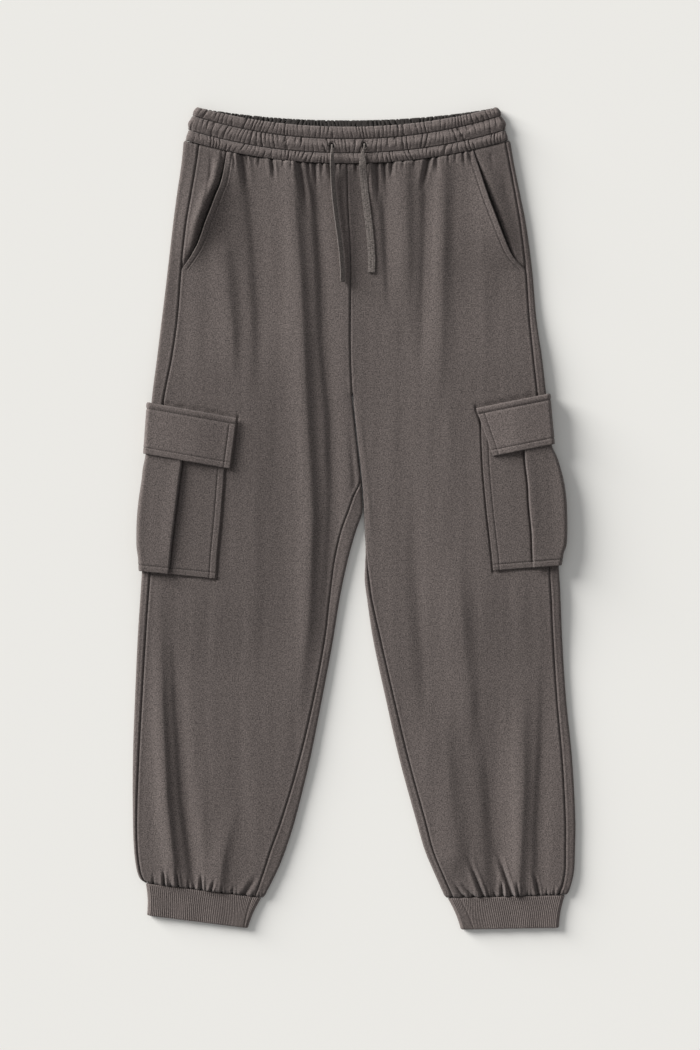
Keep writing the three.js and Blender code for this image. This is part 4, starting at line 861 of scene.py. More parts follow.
def cargo_flap(leg):
    """Flap: two layers sewn as one, over the pocket's top and round the leg's edge."""
    pocket = leg.pocket
    inboard = leg.inboard
    half = FLAP_CLOTH / 2
    stack = 3 * POCKET_CLOTH + 0.8 + LAYER_GAP + 0.5
    height = np.array([[pocket.flap_top - pocket.flap_bottom]])
    drop = spread(height, HEM_STEPS, HEM_STEPS, 24).reshape(-1, 1)
    row_y = pocket.flap_top - drop
    edge = read(leg.flap_lines, "edge", row_y) + inboard * half
    inner_edge = read(leg.flap_lines, "inner", row_y)
    pleat = read(leg.pocket_lines, "pleat", row_y)
    first = spread(np.abs(inner_edge - edge) - EDGE_TURN, HEM_STEPS, (0,), 40)
    x1 = inner_edge - inboard * first
    past = smoothstep(first, 0, np.abs(inner_edge - pleat) - 8)
    z1 = top_skin(leg, x1, row_y) + mix(POCKET_CLOTH + LAYER_GAP + 0.5, stack, past) + half
    x2, z2 = turn_under(x1[:, -1:], z1[:, -1:], inboard, edge, half, inner_edge)
    x = np.hstack([x1, x2])
    path = np.dstack([x, np.hstack([z1, z2])])
    y = row_y - pocket.slope * np.abs(x - edge)
    to_inner = np.full(x.shape, 60.0)
    to_inner[:, : first.shape[1]] = first
    to_inner[:, -18:] = np.abs(x[:, -18:] - inner_edge)
    to_top = drop + 0 * x
    to_bottom = height - drop + 0 * x
    fall = rounded(to_inner, 1.2) + rounded(to_bottom, 1.2) + rounded(to_top, 1.5)
    fall += stitch_dip(to_inner - HEM_STITCH, row_y, 0.85) * (to_top > HEM_STITCH)
    fall += stitch_dip(to_bottom - HEM_STITCH, x, 0.85) + 1.1 * bell(to_top - HEM_STITCH, 0.9) - 0.35 * bell(to_top - 3.4, 2.4)
    top = np.zeros(x.shape)
    top[:, : first.shape[1]] = 1
    relief = 0.4 * top * undulation(1.4 * x, y, 9.0) * smoothstep(to_top, 6, 20)
    outer = offset_path(path, inboard * half)
    normal = outer - path
    normal /= np.maximum(np.linalg.norm(normal, axis=2, keepdims=True), 1e-9)
    outer = outer + normal * (relief - np.minimum(fall, 1.6))[:, :, None]
    inner = offset_path(path, -inboard * half)
    grids = [np.dstack([skin[:, :, 0], y, skin[:, :, 1]]) for skin in (outer, inner)]
    return row_y, grids[0], grids[1], first.shape[1]


def ruffle(along, side_y, seed):
    """Height of the waistband's puckers: flat ridges parted by narrow valleys, each channel by itself."""
    height = np.zeros(np.broadcast(along, side_y).shape)
    for k, (top, bottom, pitch, size, slant) in enumerate(zip(*CHANNELS.values())):
        share = np.clip((top - side_y) / (top - bottom), 0, 1)
        inside = (side_y <= top) & (side_y > bottom if k < 2 else side_y >= bottom)
        lean = slant * (np.sin(along / 13 + 2.3 * k + seed) + 0.8 * np.sin(along / 43 + 1.1 * k)) * (share - 0.5)
        warp = 0.75 * np.sin(along / 19 + 1.9 * k + seed) + 0.35 * np.sin(along / 7.1 + 3.1 * k + seed)
        phase = along / pitch + warp + lean + 0.08 * np.sin(share * 9 + along)
        number = np.round(phase)
        valley = bell(phase - number, 0.1) + 0.35 * bell(phase - number, 0.28)
        deep = 0.12 + 0.88 * chance(number, k + seed) ** 1.3
        from_end = np.where(chance(number, k + seed + 0.5) > 0.5, share, 1 - share)
        reach = mix(1, np.exp(-((from_end / 0.6) ** 4)), chance(number, k + seed + 0.2) > 0.55)
        height += np.where(inside, size * (0.3 - valley * deep * reach), 0)
    return height


def buttonhole_share(cord, x, y):
    """Distance from the middle of a buttonhole, where 1 is its edge."""
    return np.hypot((x - cord.hole[0]) / HOLE_HALF_WIDTH, (y - cord.hole[1] + HOLE_DROP) / HOLE_HALF_HEIGHT)


def band_half(lines, side, fine_ends):
    """One half of the waistband as outer and inner skins. side is 1 for the front and -1 for the back."""
    radius = BAND_HEIGHT / 2
    total = lines["y"][0] - lines["y"][-1]
    drop = np.unique(np.concatenate([
        np.array([0, 0.4, 0.9, 1.5]), np.linspace(2.2, total - 1.8, 40), total - np.array([1.1, 0.5, 0]),
        *[lines["y"][0] - line + np.array([-1.2, -0.6, 0, 0.6, 1.2]) for line in STITCH_LINES]])).reshape(-1, 1)
    side_y = lines["y"][0] - drop
    half = read(lines, "half", side_y)
    dip = read(lines, "dip", side_y)
    crown = read(lines, "crown", side_y)
    quarter = np.linspace(0, math.pi / 2, 10)[:-1]
    share = np.linspace(0, 1, fine_ends)
    ones = np.ones((len(side_y), 1))
    x = np.hstack([radius * (1 - np.cos(quarter)) - half, mix(radius - half, half - radius, share),
                   half - radius * (1 - np.cos(quarter[::-1]))])
    rise = np.hstack([radius * np.sin(quarter), 0 * share + radius, radius * np.sin(quarter[::-1])]) * ones
    nx = np.hstack([-np.cos(quarter), 0 * share, np.cos(quarter[::-1])]) * ones
    nz = np.hstack([np.sin(quarter), 0 * share + 1, np.sin(quarter[::-1])]) * ones
    along = length_along(np.dstack([x, rise, 0 * x]), 1)
    along = along / along[:, -1:] * 2 * WAIST_HALF
    u = np.minimum(1, np.abs(x) / half)
    y = side_y - dip * (1 - u**DIP_POWER)
    y[-1] += CROSS_SEAM_GAP / 2
    stitch = sum(bell(side_y - line, 0.55) for line in STITCH_LINES)
    seam = bell(drop - total, 1.6)
    gathered = ruffle(along, side_y, 0.7 * side) * (0.35 + 0.65 * nz)
    if side > 0:
        for cord in CORDS.values():
            hole = np.exp(-buttonhole_share(cord, WAIST_CENTRE_X + x, y) ** 4)
            gathered = gathered * (1 - 0.8 * hole) - HOLE_DEPTH * hole
    out = crown + gathered - 1.8 * stitch - 0.5 * seam - rounded(drop, 1.5)
    wavy_top = 0.7 * (ruffle(along, lines["y"][0] - 2 + 0 * side_y, 0.7 * side) - 0.2) * bell(drop, 3)
    return SimpleNamespace(x=x, y=y + wavy_top * nz, rise=rise, nx=nx, nz=nz, out=out, along=along,
                           side_y=side_y, drop=drop, radius=radius)


def band_skin(band, side, depth, out):
    z = band.radius + side * (band.rise + band.nz * (out - depth))
    ends = np.zeros(z.shape)
    ends[:, 0] = ends[:, -1] = SEAM_GAP / 2
    x = WAIST_CENTRE_X + band.x + band.nx * (out - depth)
    return np.dstack([x, band.y, z + side * ends])


def rib_cuff(cuff):
    """Ribbed cuff: a flattened tube that narrows to its hem."""
    leg = cuff.leg
    radius = CUFF_HEIGHT / 2
    drop = spread(np.array([[1.0]]), (0, 0.015, 0.04, 0.08), (0, 0.012, 0.03, 0.06), 14).reshape(-1, 1)
    per_rib = 7
    share = np.linspace(0, 1, CUFF_RIBS * per_rib + 1)
    angle = np.linspace(0, math.pi, 14)[1:-1]
    under = np.linspace(1, 0, CUFF_RIBS * 4 + 1)
    place = np.hstack([share, 0 * angle + 1, under, 0 * angle])[None, :]
    nx = np.hstack([0 * share, np.sin(angle), 0 * under, -np.sin(angle)])[None, :]
    nz = np.hstack([0 * share + 1, np.cos(angle), 0 * under - 1, -np.cos(angle)])[None, :]
    ribs = np.abs(np.sin(place * CUFF_RIBS * math.pi)) ** 0.7 - 0.65
    from_fold = place if leg is RIGHT else 1 - place
    lean = RIB_LEAN * drop * from_fold**2 * (1 - from_fold)
    place = place + (lean if leg is RIGHT else -lean)
    seam_line = bell((place - mix(*cuff.seam, drop)) * 140, 1.1)
    flatness = np.abs(nz)
    out = 0.8 * ribs * flatness * (1 - seam_line) - 0.8 * seam_line * (nz > 0.5)
    out = out - rounded(drop * 40, 1.8) - rounded((1 - drop) * 40, 1.6) + 0.35 * np.sin(place * 21) * (nz > 0.5) * drop
    out = np.where(nz < 0, np.minimum(out, 0), out)
    ends = sorted([(float(read(leg.outer, "edge", leg.cuff_y)), leg.cuff_y),
                   (float(inner_line(leg, leg.cuff_y, "edge")), leg.cuff_y + leg.cuff_drop)])

    def skin(out_by, wall_in):
        def across(low, high):
            return mix(low + radius, high - radius, place)

        (hem_x0, hem_y0), (hem_x1, hem_y1) = cuff.hem
        bow = 1.6 * np.sin(math.pi * drop) * (1 - 2 * place)
        x = mix(across(*cuff.top), across(hem_x0, hem_x1), drop) + nx * (radius + out_by - wall_in) + bow
        (x0, y0), (x1, y1) = ends
        top_y = mix(y0, y1, (x - x0) / (x1 - x0)) - CROSS_SEAM_GAP
        hem_y = mix(hem_y0, hem_y1, (x - hem_x0) / (hem_x1 - hem_x0))
        return np.dstack([x, mix(top_y, hem_y, drop), radius + nz * (radius + out_by - wall_in) + 0 * drop])

    return skin(out, 0), skin(0 * out, CUFF_WALL)


def catmull_rom(points, per_span):
    """A smooth curve through points, with per_span steps in each span."""
    points = np.array(points, float)
    before = np.vstack([2 * points[0] - points[1], points, 2 * points[-1] - points[-2]])
    curve = []
    for a, b, c, d in zip(before[:-3], before[1:-2], before[2:-1], before[3:]):
        ta = 0
        tb = ta + np.linalg.norm(b - a) ** 0.5
        tc = tb + np.linalg.norm(c - b) ** 0.5
        td = tc + np.linalg.norm(d - c) ** 0.5
        for t in np.linspace(tb, tc, per_span, endpoint=False):
            ab = mix(a, b, (t - ta) / (tb - ta))
            bc = mix(b, c, (t - tb) / (tc - tb))
            cd = mix(c, d, (t - tc) / (td - tc))
            abc = mix(ab, bc, (t - ta) / (tc - ta))
            bcd = mix(bc, cd, (t - tb) / (td - tb))
            curve.append(mix(abc, bcd, (t - tb) / (tc - tb)))
    curve.append(points[-1])
    return np.array(curve)


def surface_under_cord(x, y):
    """Height of the upper side under a tape, the highest puckers of the band included."""
    seam_y = WAIST_Y - waist_dip(x, FRONT_DIP)
    leg = RIGHT if x < CENTRE_LINE["x"][0] else LEFT
    panel = top_skin(leg, np.array(x), row_at(leg, np.array(x), min(y, seam_y)))
    near = math.exp(-max(seam_y - y, 0) / 14)
    return float(mix(panel + near + 0.2, BAND_HEIGHT + 1.9, smoothstep(y, seam_y - 14, seam_y - 3)))


def drawcord(cord):
    """One free end of the drawcord: its route and its flat, knitted tape, bunched up at its buttonhole."""
    hole_x, hole_y = cord.hole
    way_out = [(hole_x, hole_y, BAND_HEIGHT - BAND_WALL), (hole_x, hole_y - 0.4, BAND_HEIGHT),
               (hole_x, hole_y - 3, BAND_HEIGHT + 3.6)]
    reach = TAPE_WIDTH / 2 * abs(math.sin(cord.lean)) + TAPE_THICKNESS / 2 * math.cos(cord.lean) + 0.4
    laid = [(x, y, surface_under_cord(x, y) + reach) for x, y in cord.points]
    route = catmull_rom(way_out + laid, 8)
    along = np.gradient(route, axis=0)
    along /= np.linalg.norm(along, axis=1, keepdims=True)
    down = np.hypot(route[:, 0] - hole_x, route[:, 1] - hole_y)
    lean = cord.lean * smoothstep(down, 3, 20)
    across = np.stack([np.cos(lean), 0 * lean, np.sin(lean)], axis=1)
    across = np.array([1.0, 0, 0]) + 0 * across
    turned = np.cross(along, across)
    across = across * np.cos(lean)[:, None] + turned * np.sin(lean)[:, None]
    across -= along * np.sum(across * along, axis=1, keepdims=True)
    across /= np.linalg.norm(across, axis=1, keepdims=True)
    up = np.cross(along, across)
    wide = smoothstep(down, 3, 26)
    end = length_along(route[None, :, :], 1)[0]
    to_end = end[-1] - end
    angle = np.linspace(0, math.tau, 41)[:-1]
    squared = (np.abs(np.cos(angle)) ** 4 + np.abs(np.sin(angle)) ** 4) ** -0.25
    width = mix(2.1, TAPE_WIDTH, wide)[:, None] / 2 * (1 - 0.02 * np.sin(end / 3.1))[:, None]
    thick = mix(2.1, TAPE_THICKNESS, wide)[:, None] / 2 * (1 - 0.35 * bell(to_end - 4, 1)[:, None])
    rib = 1 + 0.10 * wide[:, None] * np.cos(angle * 10)
    shape_x = width * np.cos(angle) * squared
    shape_z = thick * np.sin(angle) * squared * rib
    points = route[:, None, :] + across[:, None, :] * shape_x[:, :, None] + up[:, None, :] * shape_z[:, :, None]
    return route, points


def tube(name, rings):
    """A closed tube through rings of points, with flat ends."""
    count, sides = rings.shape[:2]
    ids = np.arange(count * sides).reshape(count, sides)
    faces = quads_of(np.hstack([ids, ids[:, :1]])).tolist()
    faces += [ids[0][::-1].tolist(), ids[-1].tolist()]
    round_by = np.linspace(0, 2 * TAPE_WIDTH, sides)
    uv = np.dstack(np.meshgrid(round_by, -length_along(rings, 0)[:, 0]))
    return new_object(name, rings.reshape(-1, 3), faces, uv.reshape(-1, 2))


def stitches(name, rows_of_points, settings):
    """Rows of topstitching. One stitch is modelled and copied along each row, sunk into its furrow."""
    bpy.ops.object.select_all(action="DESELECT")
    bpy.ops.mesh.primitive_uv_sphere_add(segments=6, ring_count=4, radius=0.5, location=(0, 0, 0))
    start = bpy.context.active_object
    shape = np.array([v.co for v in start.data.vertices])
    faces = [list(p.vertices) for p in start.data.polygons]
    bpy.data.objects.remove(start, do_unlink=True)
    length = settings.stitch_length / MM
    width = settings.thread_width / MM
    pitch = length + settings.stitch_gap / MM
    all_points = []
    all_faces = []
    for points, normals in rows_of_points:
        travelled = length_along(points[None], 1)[0]
        count = int((travelled[-1] - pitch) / pitch)
        for k in range(count):
            at = (k + 0.75) * pitch
            middle = np.array([np.interp(at, travelled, points[:, a]) for a in range(3)])
            ahead = np.array([np.interp(at + length / 2, travelled, points[:, a]) for a in range(3)])
            along = ahead - middle
            along /= np.linalg.norm(along)
            up = np.array([np.interp(at, travelled, normals[:, a]) for a in range(3)])
            up -= along * up.dot(along)
            up /= np.linalg.norm(up)
            side = np.cross(up, along)
            bow = 0.16 * (1 - (2 * shape[:, 0]) ** 2)[:, None]
            placed = middle + shape[:, :1] * along * length + shape[:, 1:2] * side * width
            placed = placed + (shape[:, 2:] * width + bow - 0.02) * up
            all_faces += [[v + len(all_points) * len(shape) for v in face] for face in faces]
            all_points.append(placed)
    points = np.vstack(all_points)
    return new_object(name, points, all_faces, points[:, :2])


def buttonhole_ring(cord, outer):
    """The route and normals of the stitching round one buttonhole, on the band's outer skin."""
    turn = np.linspace(0, math.tau, 25)
    skin = outer.reshape(-1, 3)
    ring = []
    ring_x = cord.hole[0] + RING_SIZE * HOLE_HALF_WIDTH * np.cos(turn)
    ring_y = cord.hole[1] - HOLE_DROP + RING_SIZE * HOLE_HALF_HEIGHT * np.sin(turn)
    for x, y in zip(ring_x, ring_y):
        near = np.argmin((skin[:, 0] - x) ** 2 + (skin[:, 1] - y) ** 2)
        ring.append((x, y, skin[near, 2] + 0.3))
    return np.array(ring), np.tile([0.0, 0.0, 1.0], (len(ring), 1))


def in_buttonhole(cord, outer):
    """Which faces of the band's outer skin lie in a buttonhole."""
    return buttonhole_share(cord, outer[:-1, :-1, 0], outer[:-1, :-1, 1]) < 1


def finish(piece, node, material):
    """A piece of cloth replaces its solid, rides with the garment and gets its finish."""
    piece.data.materials.append(material)
    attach(piece, "root")
    if node:
        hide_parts(node)


def paint_shade_faces(piece, faces):
    """Gives faces of a piece, by their numbers, painted shade: a darker copy of the cloth in a second slot."""
    if len(piece.data.materials) == 1:
        piece.data.materials.append(material_named("band_painted_shade"))
    for face in faces:
        piece.data.polygons[int(face)].material_index = 1


def declare_sheet(outer, closed=False):
    """Works out a piece's cut from its own points, its width, length and area; nothing uses these."""
    across = length_along(outer, 1)[:, -1]
    if closed:
        across = across + np.linalg.norm(outer[:, 0] - outer[:, -1], axis=1)
    down = length_along(outer, 0)[-1]
    width = float(across.max()) * MM
    length = float(down.max()) * MM
    sides = np.linalg.norm(np.cross(np.gradient(outer, axis=1), np.gradient(outer, axis=0)), axis=2)
    area = float(sides.sum()) * MM * MM
    area = min(max(area, 0.301 * width * length), width * length)


class Nodes:
    """A small helper to add and link shader nodes of one material."""

    def __init__(self, name):
        self.material = bpy.data.materials.new(name)
        self.material.use_nodes = True
        self.tree = self.material.node_tree
        self.shader = self.tree.nodes["Principled BSDF"]

    def add(self, kind, **inputs):
        node = self.tree.nodes.new(kind)
        for key, value in inputs.items():
            name = key.replace("_", " ")
            if hasattr(value, "is_output"):
                self.tree.links.new(value, node.inputs[name])
            else:
                node.inputs[name].default_value = value
        return node

    def math(self, operation, a, b=0.0):
        node = self.tree.nodes.new("ShaderNodeMath")
        node.operation = operation
        for socket, value in zip(node.inputs, (a, b)):
            if hasattr(value, "is_output"):
                self.tree.links.new(value, socket)
            else:
                socket.default_value = value
        return node.outputs[0]

    def stretched(self, across, along):
        """The piece's own UV map, in metres, stretched so that a noise has features of those sizes."""
        uv = self.tree.nodes.new("ShaderNodeUVMap")
        uv.uv_map = "UVMap"
        mapping = self.add("ShaderNodeMapping", Vector=uv.outputs["UV"], Scale=(1 / across, 1 / along, 1))
        return mapping.outputs["Vector"]

    def noise(self, across, along, detail=2.0):
        return self.add("ShaderNodeTexNoise", Vector=self.stretched(across, along), Scale=1.0, Detail=detail,
                        Roughness=0.6).outputs["Fac"]

    def uv_parts(self):
        uv = self.tree.nodes.new("ShaderNodeUVMap")
        uv.uv_map = "UVMap"
        split = self.add("ShaderNodeSeparateXYZ", Vector=uv.outputs["UV"])
        return split.outputs["X"], split.outputs["Y"]


def knit_material(name, colour, wale, contrast, streak, bump):
    """Heathered knit: flecked colour with faint lengthwise streaks, and loops in the bump."""
    nodes = Nodes(name)
    fleck = nodes.noise(0.0015, 0.0017, 1.0)
    cloud = nodes.noise(0.0042, 0.0056, 2.0)
    grain = nodes.noise(0.0014, 0.022, 2.0)
    tone = nodes.math("MULTIPLY_ADD", nodes.math("SUBTRACT", fleck, 0.5), contrast)
    tone.node.inputs[2].default_value = 1.0
    tone = nodes.math("ADD", tone, nodes.math("MULTIPLY", nodes.math("SUBTRACT", cloud, 0.5), contrast * 0.3))
    tone = nodes.math("ADD", tone, nodes.math("MULTIPLY", nodes.math("SUBTRACT", grain, 0.5), streak))
    tint = nodes.add("ShaderNodeVectorMath")
    tint.operation = "SCALE"
    tint.inputs[0].default_value = colour[:3]
    nodes.tree.links.new(tone, tint.inputs["Scale"])
    nodes.tree.links.new(tint.outputs[0], nodes.shader.inputs["Base Color"])
    u, v = nodes.uv_parts()
    column = nodes.math("MULTIPLY", u, math.pi / wale)
    ridge = nodes.math("ABSOLUTE", nodes.math("SINE", column))
    loops = nodes.math("SINE", nodes.math("ADD", nodes.math("MULTIPLY", v, math.tau / (wale * 0.75)),
                                          nodes.math("MULTIPLY", ridge, 2.2)))
    knit = nodes.math("MULTIPLY", nodes.math("ADD", loops, 1.6), nodes.math("ADD", ridge, 0.4))
    height = nodes.math("ADD", nodes.math("MULTIPLY", knit, 0.16), nodes.math("MULTIPLY", fleck, 1.3))
    bumped = nodes.add("ShaderNodeBump", Height=height, Strength=bump, Distance=0.00035)
    nodes.tree.links.new(bumped.outputs["Normal"], nodes.shader.inputs["Normal"])
    nodes.shader.inputs["Roughness"].default_value = 0.95
    nodes.shader.inputs["Specular IOR Level"].default_value = 0.2
    nodes.shader.inputs["Sheen Weight"].default_value = 0.12
    nodes.shader.inputs["Sheen Roughness"].default_value = 0.6
    return nodes.material


def material_named(name):
    """Each finish is made once, from the settings in the scene."""
    if name in bpy.data.materials:
        return bpy.data.materials[name]
    cloth = bpy.context.scene.sweatpants_cloth
    recipes = {
        "leg_cloth": (cloth.cloth_colour, 0.0011, 2.3, 0.3, 0.9),
        "pocket_cloth": (cloth.cloth_colour, 0.0011, 2.3, 0.25, 0.9),
        "flap_cloth": (cloth.flap_colour, 0.0011, 2.3, 0.25, 0.9),
        "cuff_knit": (cloth.rib_colour, 0.0009, 1.5, 0.3, 0.7),
        "band_cloth": (cloth.flap_colour, 0.0011, 2.0, 0.3, 0.8),
        # The next finish is painted shade: a darker copy of the cloth for hollows, openings and the band's inside.
        "band_painted_shade": (cloth.painted_shade_colour, 0.0011, 1.2, 0.2, 0.7),
        "tape_knit": (cloth.tape_colour, 0.0016, 2.6, 0.1, 1.0),
        # The thread's dark colour is painted shade of the stitch holes.
        "thread": (cloth.thread_shade_colour, 0.0004, 0.15, 0.0, 0.3),
    }
    return knit_material(name, *recipes[name])


class ClothSettings(PropertyGroup):
    cloth_colour: FloatVectorProperty(
        name="Cloth", description="Colour of the brushed sweatshirt cloth", subtype="COLOR",
        default=(0.108, 0.0893, 0.083), min=0, max=1)
    flap_colour: FloatVectorProperty(
        name="Flap", description="Colour of the pocket flaps and the waistband, a shade lighter", subtype="COLOR",
        default=(0.124, 0.1025, 0.0955), min=0, max=1)
    rib_colour: FloatVectorProperty(
        name="Rib", description="Colour of the ribbed cuffs", subtype="COLOR",
        default=(0.137, 0.1135, 0.1055), min=0, max=1)
    # Painted shade: a copy of the cloth about a third as bright, standing for the shade on the back band's inside,
    # deep in the slant pockets and in the buttonholes.
    painted_shade_colour: FloatVectorProperty(
        name="Inside", description="Colour of the inside of the waistband, a shade darker", subtype="COLOR",
        default=(0.036, 0.031, 0.0285), min=0, max=1)
    tape_colour: FloatVectorProperty(
        name="Tape", description="Colour of the drawcord's tape", subtype="COLOR",
        default=(0.138, 0.119, 0.109), min=0, max=1)
    # Painted shade: the stitching has the cloth's own tone, and this darker colour stands for the shadows in its
    # holes.
    thread_shade_colour: FloatVectorProperty(
        name="Thread", description="Colour of the topstitching", subtype="COLOR",
        default=(0.045, 0.037, 0.034), min=0, max=1)


class SewingSettings(PropertyGroup):
    stitch_length: FloatProperty(
        name="Stitch", description="Length of one stitch of thread", subtype="DISTANCE", unit="LENGTH",
        default=0.0019, min=0.001, max=0.01)
    stitch_gap: FloatProperty(
        name="Gap", description="Cloth between two stitches", subtype="DISTANCE", unit="LENGTH",
        default=0.0009, min=0.0001, max=0.01)
    thread_width: FloatProperty(
        name="Thread", description="Thickness of the sewing thread", subtype="DISTANCE", unit="LENGTH",
        default=0.0009, min=0.0001, max=0.002)


class StageSettings(PropertyGroup):
    camera_height: FloatProperty(
        name="Camera", description="Height of the camera above the surface", subtype="DISTANCE", unit="LENGTH",
        default=3.5, min=1, max=20)
    view_height: FloatProperty(
        name="View", description="Height of the view at the surface", subtype="DISTANCE", unit="LENGTH",
        default=1.3125, min=0.1, max=10)
    key_strength: FloatProperty(
        name="Key", description="Strength of the soft light from the upper left", default=6.4, min=0)
    key_height: FloatProperty(
        name="Key height", description="How high above the surface the soft light stands", subtype="ANGLE",
        unit="ROTATION", default=math.radians(17), min=0, max=math.pi / 2)
    key_turn: FloatProperty(
        name="Key turn", description="Side from which the soft light comes", subtype="ANGLE", unit="ROTATION",
        default=math.radians(-124), min=-math.pi, max=math.pi)
    key_width: FloatProperty(
        name="Key width", description="How wide the soft light looks from the surface", subtype="ANGLE",
        unit="ROTATION", default=math.radians(32), min=0, max=math.pi)
    fill: FloatProperty(
        name="Fill", description="Brightness of the even light from all round", default=0.37, min=0)
    floor_colour: FloatVectorProperty(
        name="Floor", description="Colour of the pale surface", subtype="COLOR", default=(0.86, 0.852, 0.82),
        min=0, max=1)


class SWEATPANTS_OT_stage(Operator):
    """Lays the pale surface, and sets the camera straight above it and the soft lights"""

    bl_idname = "sweatpants.stage"
    bl_label = "Stage"

    def execute(self, context):
        stage = context.scene.sweatpants_stage
        bpy.ops.object.select_all(action="DESELECT")
        bpy.ops.mesh.primitive_plane_add(size=30, location=(0, 0, 0))
        floor = context.active_object
        floor.name = "surface"
        nodes = Nodes("pale_surface")
        nodes.shader.inputs["Base Color"].default_value = (*stage.floor_colour, 1)
        nodes.shader.inputs["Roughness"].default_value = 0.9
        floor.data.materials.append(nodes.material)
        middle = (-0.0044, -0.00875)
        bpy.ops.object.camera_add(location=(*middle, stage.camera_height), rotation=(0, 0, 0))
        camera = context.active_object
        camera.data.sensor_width = 36
        camera.data.lens = 36 * stage.camera_height / stage.view_height
        context.scene.camera = camera
        bpy.ops.object.light_add(type="SUN", location=(-1, 0.75, 1))
        key = context.active_object
        key.name = "key"
        key.data.energy = stage.key_strength
        key.data.angle = stage.key_width
        key.data.color = (1, 0.99, 0.975)
        key.rotation_euler = (math.pi / 2 - stage.key_height, 0, stage.key_turn)
        world = bpy.data.worlds.new("studio")
        world.use_nodes = True
        background = world.node_tree.nodes["Background"]
        background.inputs["Color"].default_value = (0.985, 0.99, 1, 1)
        background.inputs["Strength"].default_value = stage.fill
        context.scene.world = world
        context.scene.view_settings.view_transform = "Standard"
        return {"FINISHED"}


class SWEATPANTS_OT_drawcord(Operator):
    """Makes the two free ends of the drawcord, flat tapes out of their buttonholes"""

    bl_idname = "sweatpants.drawcord"
    bl_label = "Drawcord"

    def execute(self, context):
        for side, cord in CORDS.items():
            route, rings = drawcord(cord)
            piece = tube(f"tape_{side}", rings)
            finish(piece, f"drawcord_{side}", material_named("tape_knit"))
        return {"FINISHED"}


class SWEATPANTS_OT_legs(Operator):
    """Cuts the front and back panels of both legs, with their folds, gathers and seams"""

    bl_idname = "sweatpants.legs"
    bl_label = "Leg panels"

    def execute(self, context):
        cloth = material_named("leg_cloth")
        for leg in (RIGHT, LEFT):
            row_y, outer, inner = front_panel(leg)
            piece = wall(f"front_cloth_{leg.side}", outer, inner, 5)
            finish(piece, f"front_{leg.side}", cloth)
            declare_sheet(outer)
            on_slant = row_y[:, 0] > SLANT_END_Y + 2
            column = SEAM_STEPS.index(SLANT_STITCH)
            line = outer[on_slant, column]
            normals = grid_normals(outer)[on_slant, column]
            normals *= np.sign(normals[:, 2:])
            thread = stitches(f"thread_slant_{leg.side}", [(line, normals)], context.scene.sweatpants_sewing)
            finish(thread, None, material_named("thread"))
            row_y, outer, inner = back_panel(leg)
            piece = wall(f"back_cloth_{leg.side}", outer, inner, 5)
            finish(piece, f"back_{leg.side}", cloth)
            declare_sheet(outer)
        return {"FINISHED"}


class SWEATPANTS_OT_facings(Operator):
    """Lays the facings inside the slant pockets"""

    bl_idname = "sweatpants.facings"
    bl_label = "Slant pocket facings"

    def execute(self, context):
        for leg in (RIGHT, LEFT):
            outer, inner, shaded = pocket_facing(leg)
            piece = wall(f"facing_cloth_{leg.side}", outer, inner, 3)
            finish(piece, f"pocket_facing_{leg.side}", material_named("pocket_cloth"))
            # The deepest strip of each facing, under the slanted edge, gets painted shade.
            paint_shade_faces(piece, np.flatnonzero(shaded[:-1, :-1]))
            declare_sheet(outer)
        return {"FINISHED"}


class SWEATPANTS_OT_waistband(Operator):
    """Gathers the waistband over its elastic, in three channels"""

    bl_idname = "sweatpants.waistband"
    bl_label = "Waistband"

    def execute(self, context):
        rows = []
        for name, lines, side in (("front", BAND_LINES, 1), ("back", BACK_BAND_LINES, -1)):
            band = band_half(lines, side, 760 if side > 0 else 620)
            shown = band.out if side > 0 else np.minimum(band.out, 0)
            inside = ruffle(band.along, band.side_y, 3.1) * 1.2 * band.nz - rounded(band.drop, 1.5)
            outer = band_skin(band, side, 0, shown)
            inner = band_skin(band, side, BAND_WALL, -inside if side < 0 else -rounded(band.drop, 1.5) * -1)
            piece = wall(f"waistband_{name}_cloth", outer, inner, 1 if side < 0 else 2)
            finish(piece, f"waistband_{name}", material_named("band_cloth"))
            # The back band's inner skin, which lies face up, gets painted shade.
            if side < 0:
                rows_across = (outer.shape[0] - 1) * (outer.shape[1] - 1)
                paint_shade_faces(piece, range(rows_across, 2 * rows_across))
            declare_sheet(outer)
            normals = grid_normals(outer)
            normals *= np.sign(normals[:, :, 2:]) * side
            for line in STITCH_LINES:
                row = int(np.argmin(np.abs(band.side_y[:, 0] - line)))
                rows.append((outer[row, 6:-6], normals[row, 6:-6]))
            if side > 0:
                for cord in CORDS.values():
                    rows.append(buttonhole_ring(cord, outer))
                    # Each buttonhole's faces get painted shade, a dark sheet standing for the shadow in the opening.
                    paint_shade_faces(piece, np.flatnonzero(in_buttonhole(cord, outer)))
        thread = stitches("thread_waistband", rows, context.scene.sweatpants_sewing)
        finish(thread, None, material_named("thread"))
        return {"FINISHED"}


class SWEATPANTS_OT_cuffs(Operator):
    """Knits the ribbed cuffs"""

    bl_idname = "sweatpants.cuffs"
    bl_label = "Ribbed cuffs"

    def execute(self, context):
        for side, cuff in CUFFS.items():
            outer, inner = rib_cuff(cuff)
            piece = wall(f"cuff_rib_{side}", outer, inner, 4, closed=True)
            finish(piece, f"cuff_{side}", material_named("cuff_knit"))
            declare_sheet(outer, closed=True)
        return {"FINISHED"}


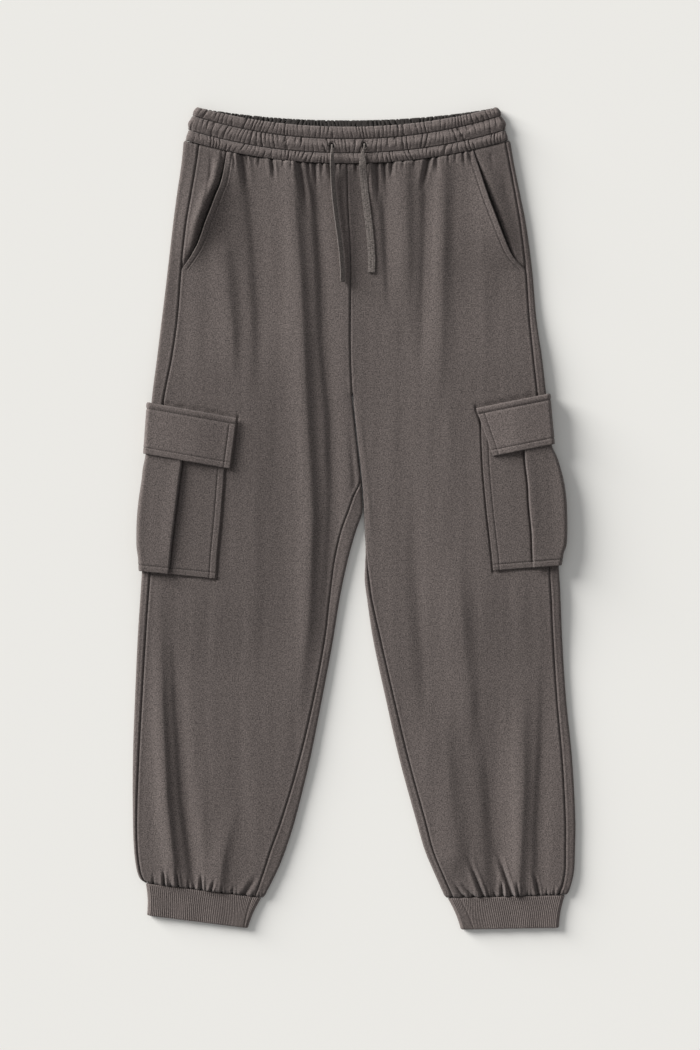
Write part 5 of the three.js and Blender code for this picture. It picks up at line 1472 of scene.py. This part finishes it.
class SWEATPANTS_OT_cargo_pockets(Operator):
    """Folds the cargo pockets and their flaps round the legs' edges, and topstitches them"""

    bl_idname = "sweatpants.cargo_pockets"
    bl_label = "Cargo pockets"

    def execute(self, context):
        for leg in (RIGHT, LEFT):
            rows = []
            row_y, outer, inner, flat = cargo_pocket(leg)
            piece = wall(f"cargo_pocket_cloth_{leg.side}", outer, inner, 2)
            finish(piece, f"cargo_pocket_{leg.side}", material_named("pocket_cloth"))
            declare_sheet(outer)
            normals = outer - inner
            hem = HEM_STEPS.index(HEM_STITCH)
            rows.append((outer[2:-hem, hem], normals[2:-hem, hem]))
            rows.append((outer[-1 - hem, hem:flat], normals[-1 - hem, hem:flat]))
            rows.append((outer[-1 - hem, flat + 16 : -2], normals[-1 - hem, flat + 16 : -2]))
            row_y, outer, inner, flat = cargo_flap(leg)
            piece = wall(f"cargo_flap_cloth_{leg.side}", outer, inner, 2)
            finish(piece, f"cargo_flap_{leg.side}", material_named("flap_cloth"))
            declare_sheet(outer)
            normals = outer - inner
            rows.append((outer[hem:-hem, hem], normals[hem:-hem, hem]))
            rows.append((outer[-1 - hem, hem:-2], normals[-1 - hem, hem:-2]))
            rows.append((outer[hem, 1:-2], normals[hem, 1:-2]))
            thread = stitches(f"thread_cargo_{leg.side}", rows, context.scene.sweatpants_sewing)
            finish(thread, None, material_named("thread"))
        return {"FINISHED"}


class SWEATPANTS_PT_panel(Panel):
    """The sizes and colours of the sweatpants, and their pieces"""

    bl_idname = "SWEATPANTS_PT_panel"
    bl_label = "Sweatpants"
    bl_space_type = "VIEW_3D"
    bl_region_type = "UI"
    bl_category = "Sweatpants"

    def draw(self, context):
        for group in GROUPS:
            settings = getattr(context.scene, group)
            for name in settings.__annotations__:
                self.layout.prop(settings, name)
        for operator in OPERATORS:
            self.layout.operator(operator.bl_idname)


OPERATORS = (
    SWEATPANTS_OT_stage,
    SWEATPANTS_OT_drawcord,
    SWEATPANTS_OT_legs,
    SWEATPANTS_OT_facings,
    SWEATPANTS_OT_waistband,
    SWEATPANTS_OT_cuffs,
    SWEATPANTS_OT_cargo_pockets,
)
GROUPS = {
    "sweatpants_cloth": ClothSettings,
    "sweatpants_sewing": SewingSettings,
    "sweatpants_stage": StageSettings,
}


def register():
    for group in GROUPS.values():
        bpy.utils.register_class(group)
    for name, group in GROUPS.items():
        setattr(bpy.types.Scene, name, PointerProperty(type=group))
    for operator in OPERATORS:
        bpy.utils.register_class(operator)
    bpy.utils.register_class(SWEATPANTS_PT_panel)


def unregister():
    bpy.utils.unregister_class(SWEATPANTS_PT_panel)
    for operator in reversed(OPERATORS):
        bpy.utils.unregister_class(operator)
    for name in GROUPS:
        delattr(bpy.types.Scene, name)
    for group in reversed(GROUPS.values()):
        bpy.utils.unregister_class(group)


def main():
    register()
    bpy.ops.sweatpants.stage()
    bpy.ops.sweatpants.drawcord()
    bpy.ops.sweatpants.legs()
    bpy.ops.sweatpants.facings()
    bpy.ops.sweatpants.waistband()
    bpy.ops.sweatpants.cuffs()
    bpy.ops.sweatpants.cargo_pockets()


if __name__ == "__main__":
    main()
